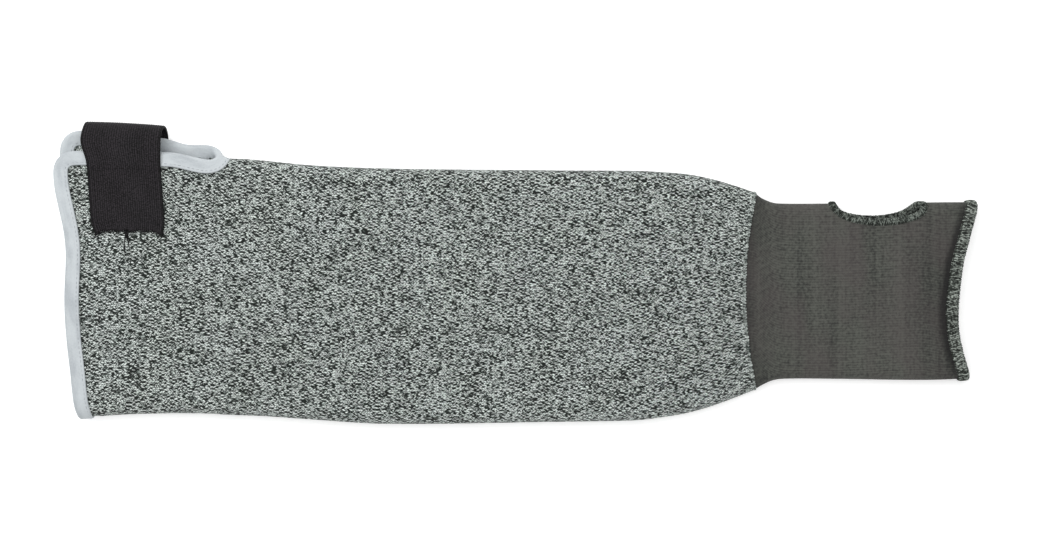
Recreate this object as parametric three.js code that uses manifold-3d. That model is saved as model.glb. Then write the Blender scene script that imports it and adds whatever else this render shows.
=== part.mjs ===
// Cut resistant work sleeve, lying flat and a little open on a table. Millimetres, +Z up.
//
// A marled knitted tube covers the arm. A finer knitted cuff with a thumb hole continues it over the
// wrist and palm. The upper arm end is split along one fold, its whole cut edge is bound with a tape,
// and an elastic strap bridges the split. The cuff's end and its thumb hole are overlocked.
//
// While the pieces are made, X runs along the sleeve with 0 where the cuff meets the body and the palm
// towards +X, Y = 0 is the middle of the cuff, and Z = 0 is the table. The last lines move the finished
// group so that its origin is the middle of its underside.
import * as THREE from "three";
import Module from "manifold-3d";

const { clamp, degToRad, lerp, smoothstep } = THREE.MathUtils;
const manifold = await Module();
manifold.setup();
const { Manifold, Mesh } = manifold;

// Body: the knitted tube
const BODY_LENGTH = 340.5;
const BODY_WIDTH = 127;
const BODY_HEIGHT = 17;
const BODY_WALL = 2;
const BOUND_WALL = 1.2; // the same knit where the tape squeezes it
const BODY_FOLD_DEPTH = 7; // how far the round of a long fold reaches in from its edge

// Where the cuff is knitted on
const SEAM_WIDTH = 98;
const SEAM_HEIGHT = 14;
const SEAM_BOW = 5.4; // its middle is drawn back this far towards the arm

// Cuff: the fine rib over wrist and palm
const CUFF_LENGTH = 114;
const CUFF_WIDTH = 87;
const CUFF_HEIGHT = 13;
const CUFF_WALL = 1.5;
const CUFF_FOLD_DEPTH = 5.5;
const PALM_RISE = 3; // the palm end stands open this much higher
const PALM_BOW = 10; // the middle of the palm edge is drawn back this far

// Thumb hole, cut across the fold of the cuff
const THUMB_LENGTH = 46;
const THUMB_DEPTH = 8.6; // from the fold to the cut edge of the upper layer
const LOWER_THUMB_DEPTH = 7;
const THUMB_FROM_PALM = 47;

// Overlocked hems
const HEM_NOSE = 1.2; // a hem's thread covers the cut edge by this much
const PALM_HEM_WIDTH = 5;
const PALM_HEM_HEIGHT = 4.4;
const THUMB_HEM_WIDTH = 4.2;
const THUMB_HEM_HEIGHT = 3.8;

// Split at the arm end
const SPLIT_LENGTH = 80;
const SPLIT_SPREAD = 10; // how far apart its two lips lie, seen from above
const SPLIT_TURN = 6; // length of its round end
const SPLIT_DROOP = 12; // degrees by which a lip still bends towards the other
const ARM_SLANT = 12; // the arm edge lies this much further back at the far fold than at the split
const ARM_CORNER = 9; // radius of the corners between arm edge and split

// Binding tape, folded over the cut edge
const TAPE_WIDTH = 7.4;
const TAPE_CLOTH = 1;

// Elastic strap across the split
const STRAP_WIDTH = 38;
const STRAP_CLOTH = 1.4;
const STRAP_FROM_ARM = 12;
const STRAP_LAP = 38; // length sewn to each layer, from the lip
const STRAP_REACH = 6.3; // its loop stands out this far past the lower lip
const STRAP_LEAN = 4.5; // degrees
const STRAP_SKEW = 4; // the lower leg lies this much nearer the palm

const GAP = 0.3; // between pieces that touch
const TAPE_GAP = 0.4; // between the tape and the knit inside it
const STRAP_GAP = 0.45; // the strap lies this loosely on the knit and the tape
const TURN_LIFT = 0.8; // the stiff turn of the tape at the split's end lifts the lower layer further
const LIFT_FADE = 12; // the lower layer comes down to the table over this length beside a raised edge
const FLANK_SHARE = 0.86; // the height where the long folds begin, as a share of the middle's

// The body's sections. along is a share of BODY_LENGTH from the arm end. low and high say how far out
// its two edges lie, from 0 as at the seam to 1 at half of BODY_WIDTH. rise is the height, from 0 as at
// the seam to 1 at BODY_HEIGHT.
const BODY_SECTIONS = [
  { along: 0.0, low: 1.0, high: 1.76, rise: 1.0 },
  { along: 0.034, low: 0.96, high: 1.74, rise: 1.0 },
  { along: 0.09, low: 0.85, high: 1.69, rise: 0.98 },
  { along: 0.158, low: 0.8, high: 1.57, rise: 0.95 },
  { along: 0.19, low: 0.8, high: 1.42, rise: 0.93 },
  { along: 0.222, low: 0.81, high: 1.33, rise: 0.92 },
  { along: 0.25, low: 0.855, high: 1.19, rise: 0.92 },
  { along: 0.296, low: 0.89, high: 1.1, rise: 0.94 },
  { along: 0.369, low: 1.01, high: 0.93, rise: 0.97 },
  { along: 0.478, low: 1.16, high: 0.82, rise: 1.0 },
  { along: 0.73, low: 1.09, high: 0.755, rise: 0.92 },
  { along: 0.842, low: 1.04, high: 0.74, rise: 0.8 },
  { along: 0.879, low: 0.94, high: 0.7, rise: 0.7 },
  { along: 0.915, low: 0.8, high: 0.63, rise: 0.58 },
  { along: 0.951, low: 0.566, high: 0.47, rise: 0.4 },
  { along: 0.988, low: 0.25, high: 0.22, rise: 0.15 },
  { along: 1.015, low: 0.0, high: 0.0, rise: 0.0 },
];

// The cuff's sections. along is a share of CUFF_LENGTH from the seam. low and high are 1 at the seam's
// half width and 0 at the cuff's. rise is 1 at SEAM_HEIGHT and 0 at CUFF_HEIGHT, and gape is the share
// of PALM_RISE added to it.
const CUFF_SECTIONS = [
  { along: 0.0, low: 1.08, high: 1.08, rise: 1.0, gape: 0.0 },
  { along: 0.046, low: 0.85, high: 0.82, rise: 0.85, gape: 0.0 },
  { along: 0.072, low: 0.53, high: 0.4, rise: 0.65, gape: 0.0 },
  { along: 0.124, low: 0.13, high: 0.08, rise: 0.3, gape: 0.0 },
  { along: 0.18, low: 0.0, high: 0.0, rise: 0.1, gape: 0.0 },
  { along: 0.36, low: 0.0, high: 0.0, rise: 0.0, gape: 0.05 },
  { along: 0.72, low: 0.11, high: 0.08, rise: 0.0, gape: 0.45 },
  { along: 0.88, low: 0.06, high: 0.12, rise: 0.0, gape: 0.8 },
  { along: 1.0, low: -0.12, high: 0.12, rise: 0.0, gape: 1.0 },
];

// The split. along is a share of SPLIT_LENGTH from the arm end, spread a share of SPLIT_SPREAD.
const SPLIT_SECTIONS = [
  { along: 0.0, spread: 1.1 },
  { along: 0.15, spread: 1.06 },
  { along: 0.45, spread: 0.88 },
  { along: 0.66, spread: 0.72 },
  { along: 0.77, spread: 0.54 },
  { along: 0.9, spread: 0.74 },
  { along: 1.0, spread: 0.84 },
];

// The arm edge. across is 0 at the far fold and 1 at the split. back is how far the edge lies behind
// the end at the split, as a share of ARM_SLANT.
const ARM_EDGE = [
  { across: 0.0, back: 1.0 },
  { across: 0.06, back: 0.86 },
  { across: 0.16, back: 0.76 },
  { across: 0.3, back: 0.6 },
  { across: 0.44, back: 0.52 },
  { across: 0.62, back: 0.58 },
  { across: 0.71, back: 0.48 },
  { across: 0.78, back: 0.31 },
  { across: 0.88, back: 0.08 },
  { across: 1.0, back: 0.0 },
];

// The palm edge, in the same way, with back as a share of PALM_BOW.
const PALM_EDGE = [
  { across: 0.0, back: 0.37 },
  { across: 0.06, back: 0.52 },
  { across: 0.13, back: 0.7 },
  { across: 0.22, back: 0.88 },
  { across: 0.33, back: 1.0 },
  { across: 0.45, back: 0.98 },
  { across: 0.58, back: 0.84 },
  { across: 0.66, back: 0.74 },
  { across: 0.75, back: 0.54 },
  { across: 0.87, back: 0.26 },
  { across: 0.96, back: 0.04 },
  { across: 1.0, back: 0.0 },
];

// Soft dents in the body's upper layer. along and long are shares of BODY_LENGTH, across and wide
// shares of BODY_WIDTH from the middle, and deep is a share of BODY_HEIGHT.
const BODY_DENTS = [
  { along: 0.27, long: 0.05, across: 0.28, wide: 0.2, deep: 0.07 },
  { along: 0.4, long: 0.09, across: -0.22, wide: 0.24, deep: 0.06 },
  { along: 0.69, long: 0.07, across: 0.12, wide: 0.3, deep: 0.07 },
  { along: 0.88, long: 0.035, across: -0.16, wide: 0.16, deep: 0.05 },
];

// And in the cuff's, as shares of CUFF_LENGTH, CUFF_WIDTH and CUFF_HEIGHT.
const CUFF_DENTS = [
  { along: 0.14, long: 0.1, across: 0.3, wide: 0.16, deep: 0.1 },
  { along: 0.48, long: 0.12, across: -0.28, wide: 0.14, deep: 0.08 },
  { along: 0.87, long: 0.06, across: -0.1, wide: 0.34, deep: 0.14 },
];

// A smooth curve through one column of a table.
function through(rows, key, column) {
  const last = rows.length - 1;
  const slope = (i) => {
    const a = rows[Math.max(i - 1, 0)];
    const b = rows[Math.min(i + 1, last)];
    return (b[column] - a[column]) / (b[key] - a[key]);
  };
  return (at) => {
    const x = clamp(at, rows[0][key], rows[last][key]);
    let i = 0;
    while (i < last - 1 && rows[i + 1][key] < x) i++;
    const span = rows[i + 1][key] - rows[i][key];
    const t = (x - rows[i][key]) / span;
    const ends = lerp(rows[i][column], rows[i + 1][column], t * t * (3 - 2 * t));
    return ends + span * t * (1 - t) * (slope(i) * (1 - t) - slope(i + 1) * t);
  };
}

// 1 up to a distance, then fading to 0.
const near = (distance, reach) => 1 - smoothstep(distance, reach, reach + LIFT_FADE);

function dentAt(dents, along, across, height) {
  let depth = 0;
  for (const dent of dents) {
    const u = (along - dent.along) / dent.long;
    const v = (across - dent.across) / dent.wide;
    depth += dent.deep * height * Math.exp(-u * u - v * v);
  }
  return depth;
}

// Distances from a lip, or from the near fold where the tube is closed, of the first points of a layer.
const NEAR_ROWS = [0, 0.27, 0.61, 1.01, 1.49].map((share) => share * TAPE_WIDTH);
const FLAT_STEPS = 7;
const FOLD_STEPS = 3;
const DENSE_STEPS = 16;

// Half of a section, as points of the wall's middle line from the lip to the middle of the far fold.
// The near end bends by bend, a right angle where the tube is closed. side is 1 for the upper layer.
function layerLine(shape, side) {
  const { low, depth, bend, top, bottom } = shape;
  const lip = side > 0 ? shape.upperLip : shape.lowerLip;
  const height = side > 0 ? top : bottom;
  const start = lip - depth * Math.sin(bend);
  const far = low + depth;
  const nearRise = (top(start) - bottom(start)) / 2;
  const farRise = (top(far) - bottom(far)) / 2;
  const farMiddle = (top(far) + bottom(far)) / 2;
  const dense = [];
  for (let i = 0; i <= DENSE_STEPS; i++) {
    const a = bend * (1 - i / DENSE_STEPS);
    dense.push([start + depth * Math.sin(a), height(start) - side * nearRise * (1 - Math.cos(a))]);
  }
  for (let i = 1; i <= 2 * DENSE_STEPS; i++) {
    const y = lerp(start, far, i / (2 * DENSE_STEPS));
    dense.push([y, height(y)]);
  }
  const foldStart = dense.length - 1;
  for (let i = 1; i <= DENSE_STEPS; i++) {
    const a = (Math.PI / 2) * (i / DENSE_STEPS);
    dense.push([far - depth * Math.sin(a), farMiddle + side * farRise * Math.cos(a)]);
  }
  const run = [0];
  for (let i = 1; i < dense.length; i++) {
    run.push(run[i - 1] + Math.hypot(dense[i][0] - dense[i - 1][0], dense[i][1] - dense[i - 1][1]));
  }
  const total = run[run.length - 1];
  const nearEnd = NEAR_ROWS[NEAR_ROWS.length - 1];
  const stops = [...NEAR_ROWS];
  for (let i = 1; i <= FLAT_STEPS; i++) stops.push(lerp(nearEnd, run[foldStart], i / FLAT_STEPS));
  for (let i = 1; i <= FOLD_STEPS; i++) stops.push(lerp(run[foldStart], total, i / FOLD_STEPS));
  return stops.map((stop) => {
    let i = 1;
    while (i < run.length - 1 && run[i] < stop) i++;
    const t = (stop - run[i - 1]) / (run[i] - run[i - 1]);
    return [lerp(dense[i - 1][0], dense[i][0], t), lerp(dense[i - 1][1], dense[i][1], t)];
  });
}

// A whole section, from the lower lip round the far fold to the upper lip.
function sectionLine(shape) {
  return [...layerLine(shape, -1), ...layerLine(shape, 1).reverse().slice(1)];
}

const LAYER_ROWS = NEAR_ROWS.length - 1 + FLAT_STEPS + FOLD_STEPS; // steps from a lip to the far fold
const lipDistance = (j) => NEAR_ROWS[Math.min(j, 2 * LAYER_ROWS - j)] ?? Infinity;

// The body's shape at x.
const bodyLow = through(BODY_SECTIONS, "along", "low");
const bodyHigh = through(BODY_SECTIONS, "along", "high");
const bodyRise = through(BODY_SECTIONS, "along", "rise");
const splitSpread = through(SPLIT_SECTIONS, "along", "spread");
const armBack = through(ARM_EDGE, "across", "back");

const SEAM_HALF = (SEAM_WIDTH - BODY_WALL) / 2;
const BODY_HALF = (BODY_WIDTH - BODY_WALL) / 2;
const SPLIT_END = SPLIT_LENGTH - BODY_LENGTH;
const TAPE_HALF = BOUND_WALL / 2 + TAPE_GAP + TAPE_CLOTH;
const TAPE_NOSE = TAPE_GAP + TAPE_CLOTH; // how far the tape stands out past the knit's cut edge
const TAPE_REACH = TAPE_WIDTH - TAPE_NOSE;

function bodyEdges(x) {
  const share = 1 + x / BODY_LENGTH;
  const low = -lerp(SEAM_HALF, BODY_HALF, bodyLow(share));
  const high = lerp(SEAM_HALF, BODY_HALF, bodyHigh(share));
  const left = clamp((SPLIT_END - x) / SPLIT_TURN, 0, 1);
  const open = Math.sqrt(1 - (1 - left) ** 2);
  const spread = (open * SPLIT_SPREAD * splitSpread((x + BODY_LENGTH) / SPLIT_LENGTH)) / 2;
  return { low, high, open, upperLip: high - spread, lowerLip: high + spread };
}

function strapMiddle(y, lip) {
  return STRAP_FROM_ARM + STRAP_WIDTH / 2 - BODY_LENGTH + Math.tan(degToRad(STRAP_LEAN)) * (lip - y);
}

// How far the tape under its edges and the strap's lower leg hold the lower layer off the table.
function bodyLift(x, y, edges) {
  const fromArm = x + BODY_LENGTH - ARM_SLANT;
  const fromLip = Math.hypot(edges.lowerLip - y, Math.max(x - SPLIT_END, 0));
  const fromTurn = Math.hypot(edges.lowerLip - y, x - SPLIT_END);
  const aside = x - strapMiddle(y, edges.lowerLip) - STRAP_SKEW - STRAP_WIDTH / 2;
  const inside = edges.lowerLip - STRAP_LAP - y;
  const tape = Math.max(near(fromArm, TAPE_WIDTH), near(fromLip, 1.5 * TAPE_WIDTH));
  const strap = near(Math.hypot(Math.max(aside, 0), Math.max(inside, 0)), 2.1 * STRAP_CLOTH);
  const tapeLift = 1.1 * TAPE_HALF - BODY_WALL / 2;
  return tape * tapeLift + near(fromTurn, 0.5 * TAPE_WIDTH) * TURN_LIFT + strap * (STRAP_CLOTH + STRAP_GAP);
}

function bodyShape(x) {
  const edges = bodyEdges(x);
  const share = 1 + x / BODY_LENGTH;
  const height = lerp(SEAM_HEIGHT, BODY_HEIGHT, bodyRise(share)) - BODY_WALL;
  const middle = (edges.low + edges.upperLip) / 2;
  const half = (edges.upperLip - edges.low) / 2 - BODY_FOLD_DEPTH / 2;
  const top = (y) => {
    const u = clamp((y - middle) / half, -1, 1);
    const crown = lerp(FLANK_SHARE, 1, 1 - u * u) * height;
    return BODY_WALL / 2 + crown - dentAt(BODY_DENTS, share, y / BODY_WIDTH, BODY_HEIGHT);
  };
  const bottom = (y) => BODY_WALL / 2 + bodyLift(x, y, edges);
  const bend = lerp(Math.PI / 2, degToRad(SPLIT_DROOP), edges.open);
  return { ...edges, depth: BODY_FOLD_DEPTH, bend, top, bottom };
}

// The cuff's shape at x.
const cuffLow = through(CUFF_SECTIONS, "along", "low");
const cuffHigh = through(CUFF_SECTIONS, "along", "high");
const cuffRise = through(CUFF_SECTIONS, "along", "rise");
const cuffGape = through(CUFF_SECTIONS, "along", "gape");
const palmBack = through(PALM_EDGE, "across", "back");

const CUFF_HALF = (CUFF_WIDTH - CUFF_WALL) / 2;
const THUMB_X = CUFF_LENGTH - THUMB_FROM_PALM;
const PALM_REACH = PALM_HEM_WIDTH - HEM_NOSE;
const THUMB_REACH = THUMB_HEM_WIDTH - HEM_NOSE;

function cuffShape(x) {
  const share = x / CUFF_LENGTH;
  const low = -lerp(CUFF_HALF, SEAM_HALF, cuffLow(share));
  const high = lerp(CUFF_HALF, SEAM_HALF, cuffHigh(share));
  const seamward = lerp(CUFF_HEIGHT, SEAM_HEIGHT, cuffRise(share));
  const height = seamward + PALM_RISE * cuffGape(share) - CUFF_WALL;
  const middle = (low + high) / 2;
  const half = (high - low) / 2 - CUFF_FOLD_DEPTH;
  const top = (y) => {
    const u = clamp((y - middle) / half, -1, 1);
    const crown = lerp(FLANK_SHARE, 1, 1 - u * u) * height;
    return CUFF_WALL / 2 + crown - dentAt(CUFF_DENTS, share, y / CUFF_WIDTH, CUFF_HEIGHT);
  };
  const bottom = (y) => {
    const beside = Math.max(Math.abs(x - THUMB_X) - THUMB_LENGTH / 2, 0);
    const under = Math.max(high - y - THUMB_DEPTH, 0);
    const palm = near(CUFF_LENGTH - PALM_BOW - x, PALM_HEM_WIDTH) * (1.05 * PALM_HEM_HEIGHT - CUFF_WALL);
    const from = Math.hypot(beside, under);
    const thumb = near(from, 1.5 * THUMB_HEM_WIDTH) * (1.16 * THUMB_HEM_HEIGHT - CUFF_WALL);
    return CUFF_WALL / 2 + Math.max(palm, thumb) / 2;
  };
  const bend = Math.PI / 2;
  return { low, high, upperLip: high, lowerLip: high, depth: CUFF_FOLD_DEPTH, bend, top, bottom };
}

// A tube as stations of points. shift(along, across, j) moves a point along X off its plain station,
// and the section there gives its Y and Z.
function tubePoints(stations, shapeAt, shift) {
  return stations.map((station) => {
    const plain = shapeAt(station);
    const line = sectionLine(plain);
    return line.map(([y], j) => {
      const across = clamp((y - plain.low) / (plain.upperLip - plain.low), 0, 1);
      const x = station + shift(station, across, j);
      const [toY, toZ] = sectionLine(shapeAt(x))[j];
      return new THREE.Vector3(x, toY, toZ);
    });
  });
}

// The middle surface's normals. From station joined on, a row's first and last point are one.
function normalsOf(points, joined) {
  const end = points.length - 1;
  return points.map((row, i) => {
    const last = row.length - 1;
    return row.map((point, j) => {
      const round = i >= joined && (j === 0 || j === last);
      const before = round ? row[last - 1] : row[Math.max(j - 1, 0)];
      const after = round ? row[1] : row[Math.min(j + 1, last)];
      const behind = points[Math.max(i - 1, 0)];
      const back = behind[j].clone();
      if (round) back.add(behind[last - j]).multiplyScalar(0.5);
      const along = points[Math.min(i + 1, end)][j].clone().sub(back);
      return along.cross(after.clone().sub(before)).normalize();
    });
  });
}

// A closed mesh from positions and faces, turned right side out.
function solidFrom(positions, faces) {
  const vertProperties = new Float32Array(positions.flatMap((p) => [p.x, p.y, p.z]));
  let volume = 0;
  for (const [a, b, c] of faces) {
    volume += positions[a].dot(positions[b].clone().cross(positions[c]));
  }
  const triVerts = new Uint32Array(volume < 0 ? faces.flatMap(([a, b, c]) => [a, c, b]) : faces.flat());
  return new Manifold(new Mesh({ numProp: 3, vertProperties, triVerts }));
}

// The direction out of the cloth at a point of its free edge, in its surface, or null elsewhere.
function outwardAt(points, joined, i, j, normal) {
  const end = points.length - 1;
  const last = points[i].length - 1;
  const beside = j === 0 ? 1 : last - 1;
  let [before, after, inside] = [];
  if (i < joined && (j === 0 || j === last)) {
    before = i === 0 ? points[0][beside] : points[i - 1][j];
    after = i === end ? points[end][beside] : points[i + 1][j];
    inside = points[i][beside];
  } else if (i === 0 || i === end) {
    before = points[i][j === 0 ? last - 1 : j - 1];
    after = points[i][j === last ? 1 : j + 1];
    inside = points[i === 0 ? 1 : end - 1][j];
  } else if (i === joined && j === 0) {
    before = points[i - 1][0];
    after = points[i - 1][last];
    inside = points[i + 1][0];
  } else return null;
  const outward = after.clone().sub(before).cross(normal).normalize();
  return outward.dot(points[i][j].clone().sub(inside)) < 0 ? outward.negate() : outward;
}

// The loop through the given places of a cloth's edge.
function edgeOf(points, joined, normals, places) {
  return places.map(([i, j]) => {
    const normal = normals[i][j];
    return { point: points[i][j], normal, outward: outwardAt(points, joined, i, j, normal) };
  });
}

// Cloth of a given thickness about its middle surface, closed along all its free edges. grow makes the
// same cloth larger by that much everywhere, to cut its room out of the pieces round it.
function cloth(points, joined, thickness, grow = 0) {
  const normals = normalsOf(points, joined);
  const stations = points.length;
  const last = points[0].length - 1;
  const positions = [];
  const ids = points.map((row, i) =>
    row.map((point, j) => {
      if (i >= joined && j === last) return null;
      const outward = outwardAt(points, joined, i, j, normals[i][j]);
      const middle = outward ? point.clone().addScaledVector(outward, grow) : point;
      const half = thickness(point) / 2 + grow;
      positions.push(middle.clone().addScaledVector(normals[i][j], half));
      positions.push(middle.clone().addScaledVector(normals[i][j], -half));
      return positions.length - 2;
    }),
  );
  const id = (i, j) => ids[i][j] ?? ids[i][0];
  const faces = [];
  const quad = (a, b, c, d) => faces.push([a, b, c], [a, c, d]);
  for (let i = 0; i < stations - 1; i++) {
    for (let j = 0; j < last; j++) {
      const [a, b, c, d] = [id(i, j), id(i + 1, j), id(i + 1, j + 1), id(i, j + 1)];
      quad(a, b, c, d);
      quad(a + 1, d + 1, c + 1, b + 1);
    }
    if (i < joined) {
      const [a, b, c, d] = [id(i, 0), id(i + 1, 0), id(i, last), id(i + 1, last)];
      quad(b, a, a + 1, b + 1);
      quad(c, d, d + 1, c + 1);
    }
  }
  for (let j = 0; j < last; j++) {
    const [a, b] = [id(0, j), id(0, j + 1)];
    const [c, d] = [id(stations - 1, j), id(stations - 1, j + 1)];
    quad(a, b, b + 1, a + 1);
    quad(d, c, c + 1, d + 1);
  }
  return solidFrom(positions, faces);
}

// A section swept round a closed loop of edge points, each with its surface normal and the direction
// out of the cloth. A section point is [in, up], in from the edge and up along the normal.
function sweep(loop, section) {
  const count = loop.length;
  const positions = [];
  for (let i = 0; i < count; i++) {
    const { point, normal, outward } = loop[i];
    const along = loop[(i + 1) % count].point.clone().sub(loop[(i + count - 1) % count].point);
    const into = along.clone().cross(normal).normalize();
    if (into.dot(outward) > 0) into.negate();
    const up = normal.clone().addScaledVector(into, -normal.dot(into)).normalize();
    for (const [q, h] of section) {
      positions.push(point.clone().addScaledVector(into, q).addScaledVector(up, h));
    }
  }
  const faces = [];
  const size = section.length;
  for (let i = 0; i < count; i++) {
    for (let k = 0; k < size; k++) {
      const a = i * size + k;
      const b = i * size + ((k + 1) % size);
      const c = ((i + 1) % count) * size + ((k + 1) % size);
      const d = ((i + 1) % count) * size + k;
      faces.push([a, b, c], [a, c, d]);
    }
  }
  return solidFrom(positions, faces);
}

// A loop spaced evenly along the smooth curve through the given one.
function evenLoop(loop, spacing) {
  const curve = (key) => new THREE.CatmullRomCurve3(loop.map((at) => at[key]), true, "centripetal");
  const points = curve("point");
  const count = Math.round(points.getLength() / spacing);
  const share = (u) => points.getUtoTmapping(u, 0);
  const blend = (key, t) => {
    const at = t * loop.length;
    const i = Math.floor(at) % loop.length;
    return loop[i][key].clone().lerp(loop[(i + 1) % loop.length][key], at - Math.floor(at));
  };
  return Array.from({ length: count }, (_, i) => {
    const t = share(i / count);
    return { point: points.getPoint(t), normal: blend("normal", t), outward: blend("outward", t) };
  });
}

// The cut edge of a folded layer with a rounded outside, from nose outside the edge to reach inside.
function foldedSection(nose, reach, half, round) {
  const upper = [
    [-nose, half - 1.2 * round],
    [-nose + round, half],
    [reach - 0.8 * round, half],
    [reach, half - 0.6 * round],
  ];
  return [...upper, ...upper.map(([q, h]) => [q, -h]).reverse()];
}

// Body
const ARM_FADE = 60; // the arm edge's slant is spread over this length of stations
const SEAM_FADE = 40;

function bodyShift(station, across, j) {
  const lip = Math.max(ARM_CORNER - lipDistance(j), 0);
  const corner = ARM_CORNER - Math.sqrt(ARM_CORNER ** 2 - lip ** 2);
  const lower = j < LAYER_ROWS ? 0.15 * smoothstep(across, 0.6, 1) : 0;
  const arm = ARM_SLANT * (armBack(across) + lower) + corner;
  const bow = SEAM_BOW * (2 * across - 1) ** 2;
  const fromArm = (station + BODY_LENGTH) / ARM_FADE;
  return arm * (1 - smoothstep(fromArm, 0, 1)) + bow * (1 - smoothstep(-station / SEAM_FADE, 0, 1));
}

const bodyStations = [];
for (const share of [0, 0.04, 0.09, 0.15, 0.22, 0.31, 0.41, 0.51, 0.61, 0.71, 0.81]) {
  bodyStations.push(share * SPLIT_LENGTH - BODY_LENGTH);
}
for (const share of [1.5, 1, 0.7, 0.43, 0.2, 0]) bodyStations.push(SPLIT_END - share * SPLIT_TURN);
const joinedAt = bodyStations.length - 1;
for (const share of [0.33, 0.75, 1.25, 2, 3.2]) bodyStations.push(SPLIT_END + share * SPLIT_TURN);
const PLAIN_STEPS = 9;
const TAPER_LENGTH = 60; // the body narrows over this length before the cuff
const plainStart = bodyStations[bodyStations.length - 1];
for (let i = 1; i <= PLAIN_STEPS; i++) {
  bodyStations.push(lerp(plainStart, -TAPER_LENGTH, i / PLAIN_STEPS));
}
for (const share of [0.78, 0.6, 0.45, 0.32, 0.2, 0.1, 0]) bodyStations.push(-share * TAPER_LENGTH);

const bodyPoints = tubePoints(bodyStations, bodyShape, bodyShift);
const bodyNormals = normalsOf(bodyPoints, joinedAt);

// The cut edge: the arm edge from the lower lip to the upper one, then back along the two lips.
function cutEdge() {
  const last = bodyPoints[0].length - 1;
  const places = [];
  for (let j = 1; j < last; j++) places.push([0, j]);
  for (let i = 0; i < joinedAt; i++) places.push([i, last]);
  for (let i = joinedAt; i >= 0; i--) places.push([i, 0]);
  return edgeOf(bodyPoints, joinedAt, bodyNormals, places);
}

const bodyEdge = cutEdge();

function bodyThickness(point) {
  const distance = Math.min(...bodyEdge.map((at) => at.point.distanceTo(point)));
  return lerp(BOUND_WALL, BODY_WALL, smoothstep(distance, 1.17 * TAPE_REACH, 1.83 * TAPE_REACH));
}

const body = cloth(bodyPoints, joinedAt, bodyThickness);
const bodyRoom = cloth(bodyPoints, joinedAt, bodyThickness, TAPE_GAP);

// Cuff
const PALM_FADE = 30;
const LOWER_PALM_SHARE = 0.25; // the lower layer's palm edge is drawn back this share less

function cuffShift(station, across, j) {
  const bow = SEAM_BOW * (2 * across - 1) ** 2 + GAP;
  const lower = j < LAYER_ROWS ? 1 - LOWER_PALM_SHARE * 4 * across * (1 - across) : 1;
  const palm = -PALM_BOW * palmBack(across) * lower;
  const fromPalm = (CUFF_LENGTH - station) / PALM_FADE;
  return bow * (1 - smoothstep(station / PALM_FADE, 0, 1)) + palm * (1 - smoothstep(fromPalm, 0, 1));
}

const CUFF_SHARES = [
  ...[0, 0.03, 0.07, 0.115, 0.175, 0.28, 0.385, 0.49],
  ...[0.59, 0.675, 0.755, 0.825, 0.885, 0.94, 1],
];
const cuffStations = CUFF_SHARES.map((share) => share * CUFF_LENGTH);

const cuffPoints = tubePoints(cuffStations, cuffShape, cuffShift);
const cuffNormals = normalsOf(cuffPoints, 0);

// The thumb hole's cutter, an elliptical post through each layer, centred on the fold.
function thumbCutter(shrink) {
  const fold = cuffShape(THUMB_X).high;
  const post = (depth, from, to) =>
    Manifold.cylinder(to - from, 1, 1, 40)
      .scale([THUMB_LENGTH / 2 - shrink, depth - shrink, 1])
      .translate([THUMB_X, fold, from]);
  const middle = CUFF_HEIGHT / 2;
  return post(THUMB_DEPTH, middle, 2 * CUFF_HEIGHT).add(post(LOWER_THUMB_DEPTH, -CUFF_HEIGHT, middle));
}

const cuff = cloth(cuffPoints, 0, () => CUFF_WALL).subtract(thumbCutter(0));
const cuffRoom = cloth(cuffPoints, 0, () => CUFF_WALL, GAP).subtract(thumbCutter(GAP));

const tape = sweep(
  evenLoop(bodyEdge, 0.92 * TAPE_WIDTH),
  foldedSection(TAPE_NOSE, TAPE_REACH, TAPE_HALF, 0.45 * TAPE_HALF),
).subtract(bodyRoom);

// Palm hem
const palmEnd = cuffPoints.length - 1;
const palmEdge = cuffPoints[palmEnd].slice(1).map((_, j) => [palmEnd, j]);

const palmHem = sweep(
  evenLoop(edgeOf(cuffPoints, 0, cuffNormals, palmEdge), 1.15 * PALM_HEM_WIDTH),
  foldedSection(HEM_NOSE, PALM_REACH, PALM_HEM_HEIGHT / 2, 0.27 * PALM_HEM_HEIGHT),
).subtract(cuffRoom);

// Thumb hem, along the hole's edge over the upper layer, round the fold and back below.
const THUMB_EDGE_STEPS = 6;
const THUMB_FOLD_STEPS = 4;

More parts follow.
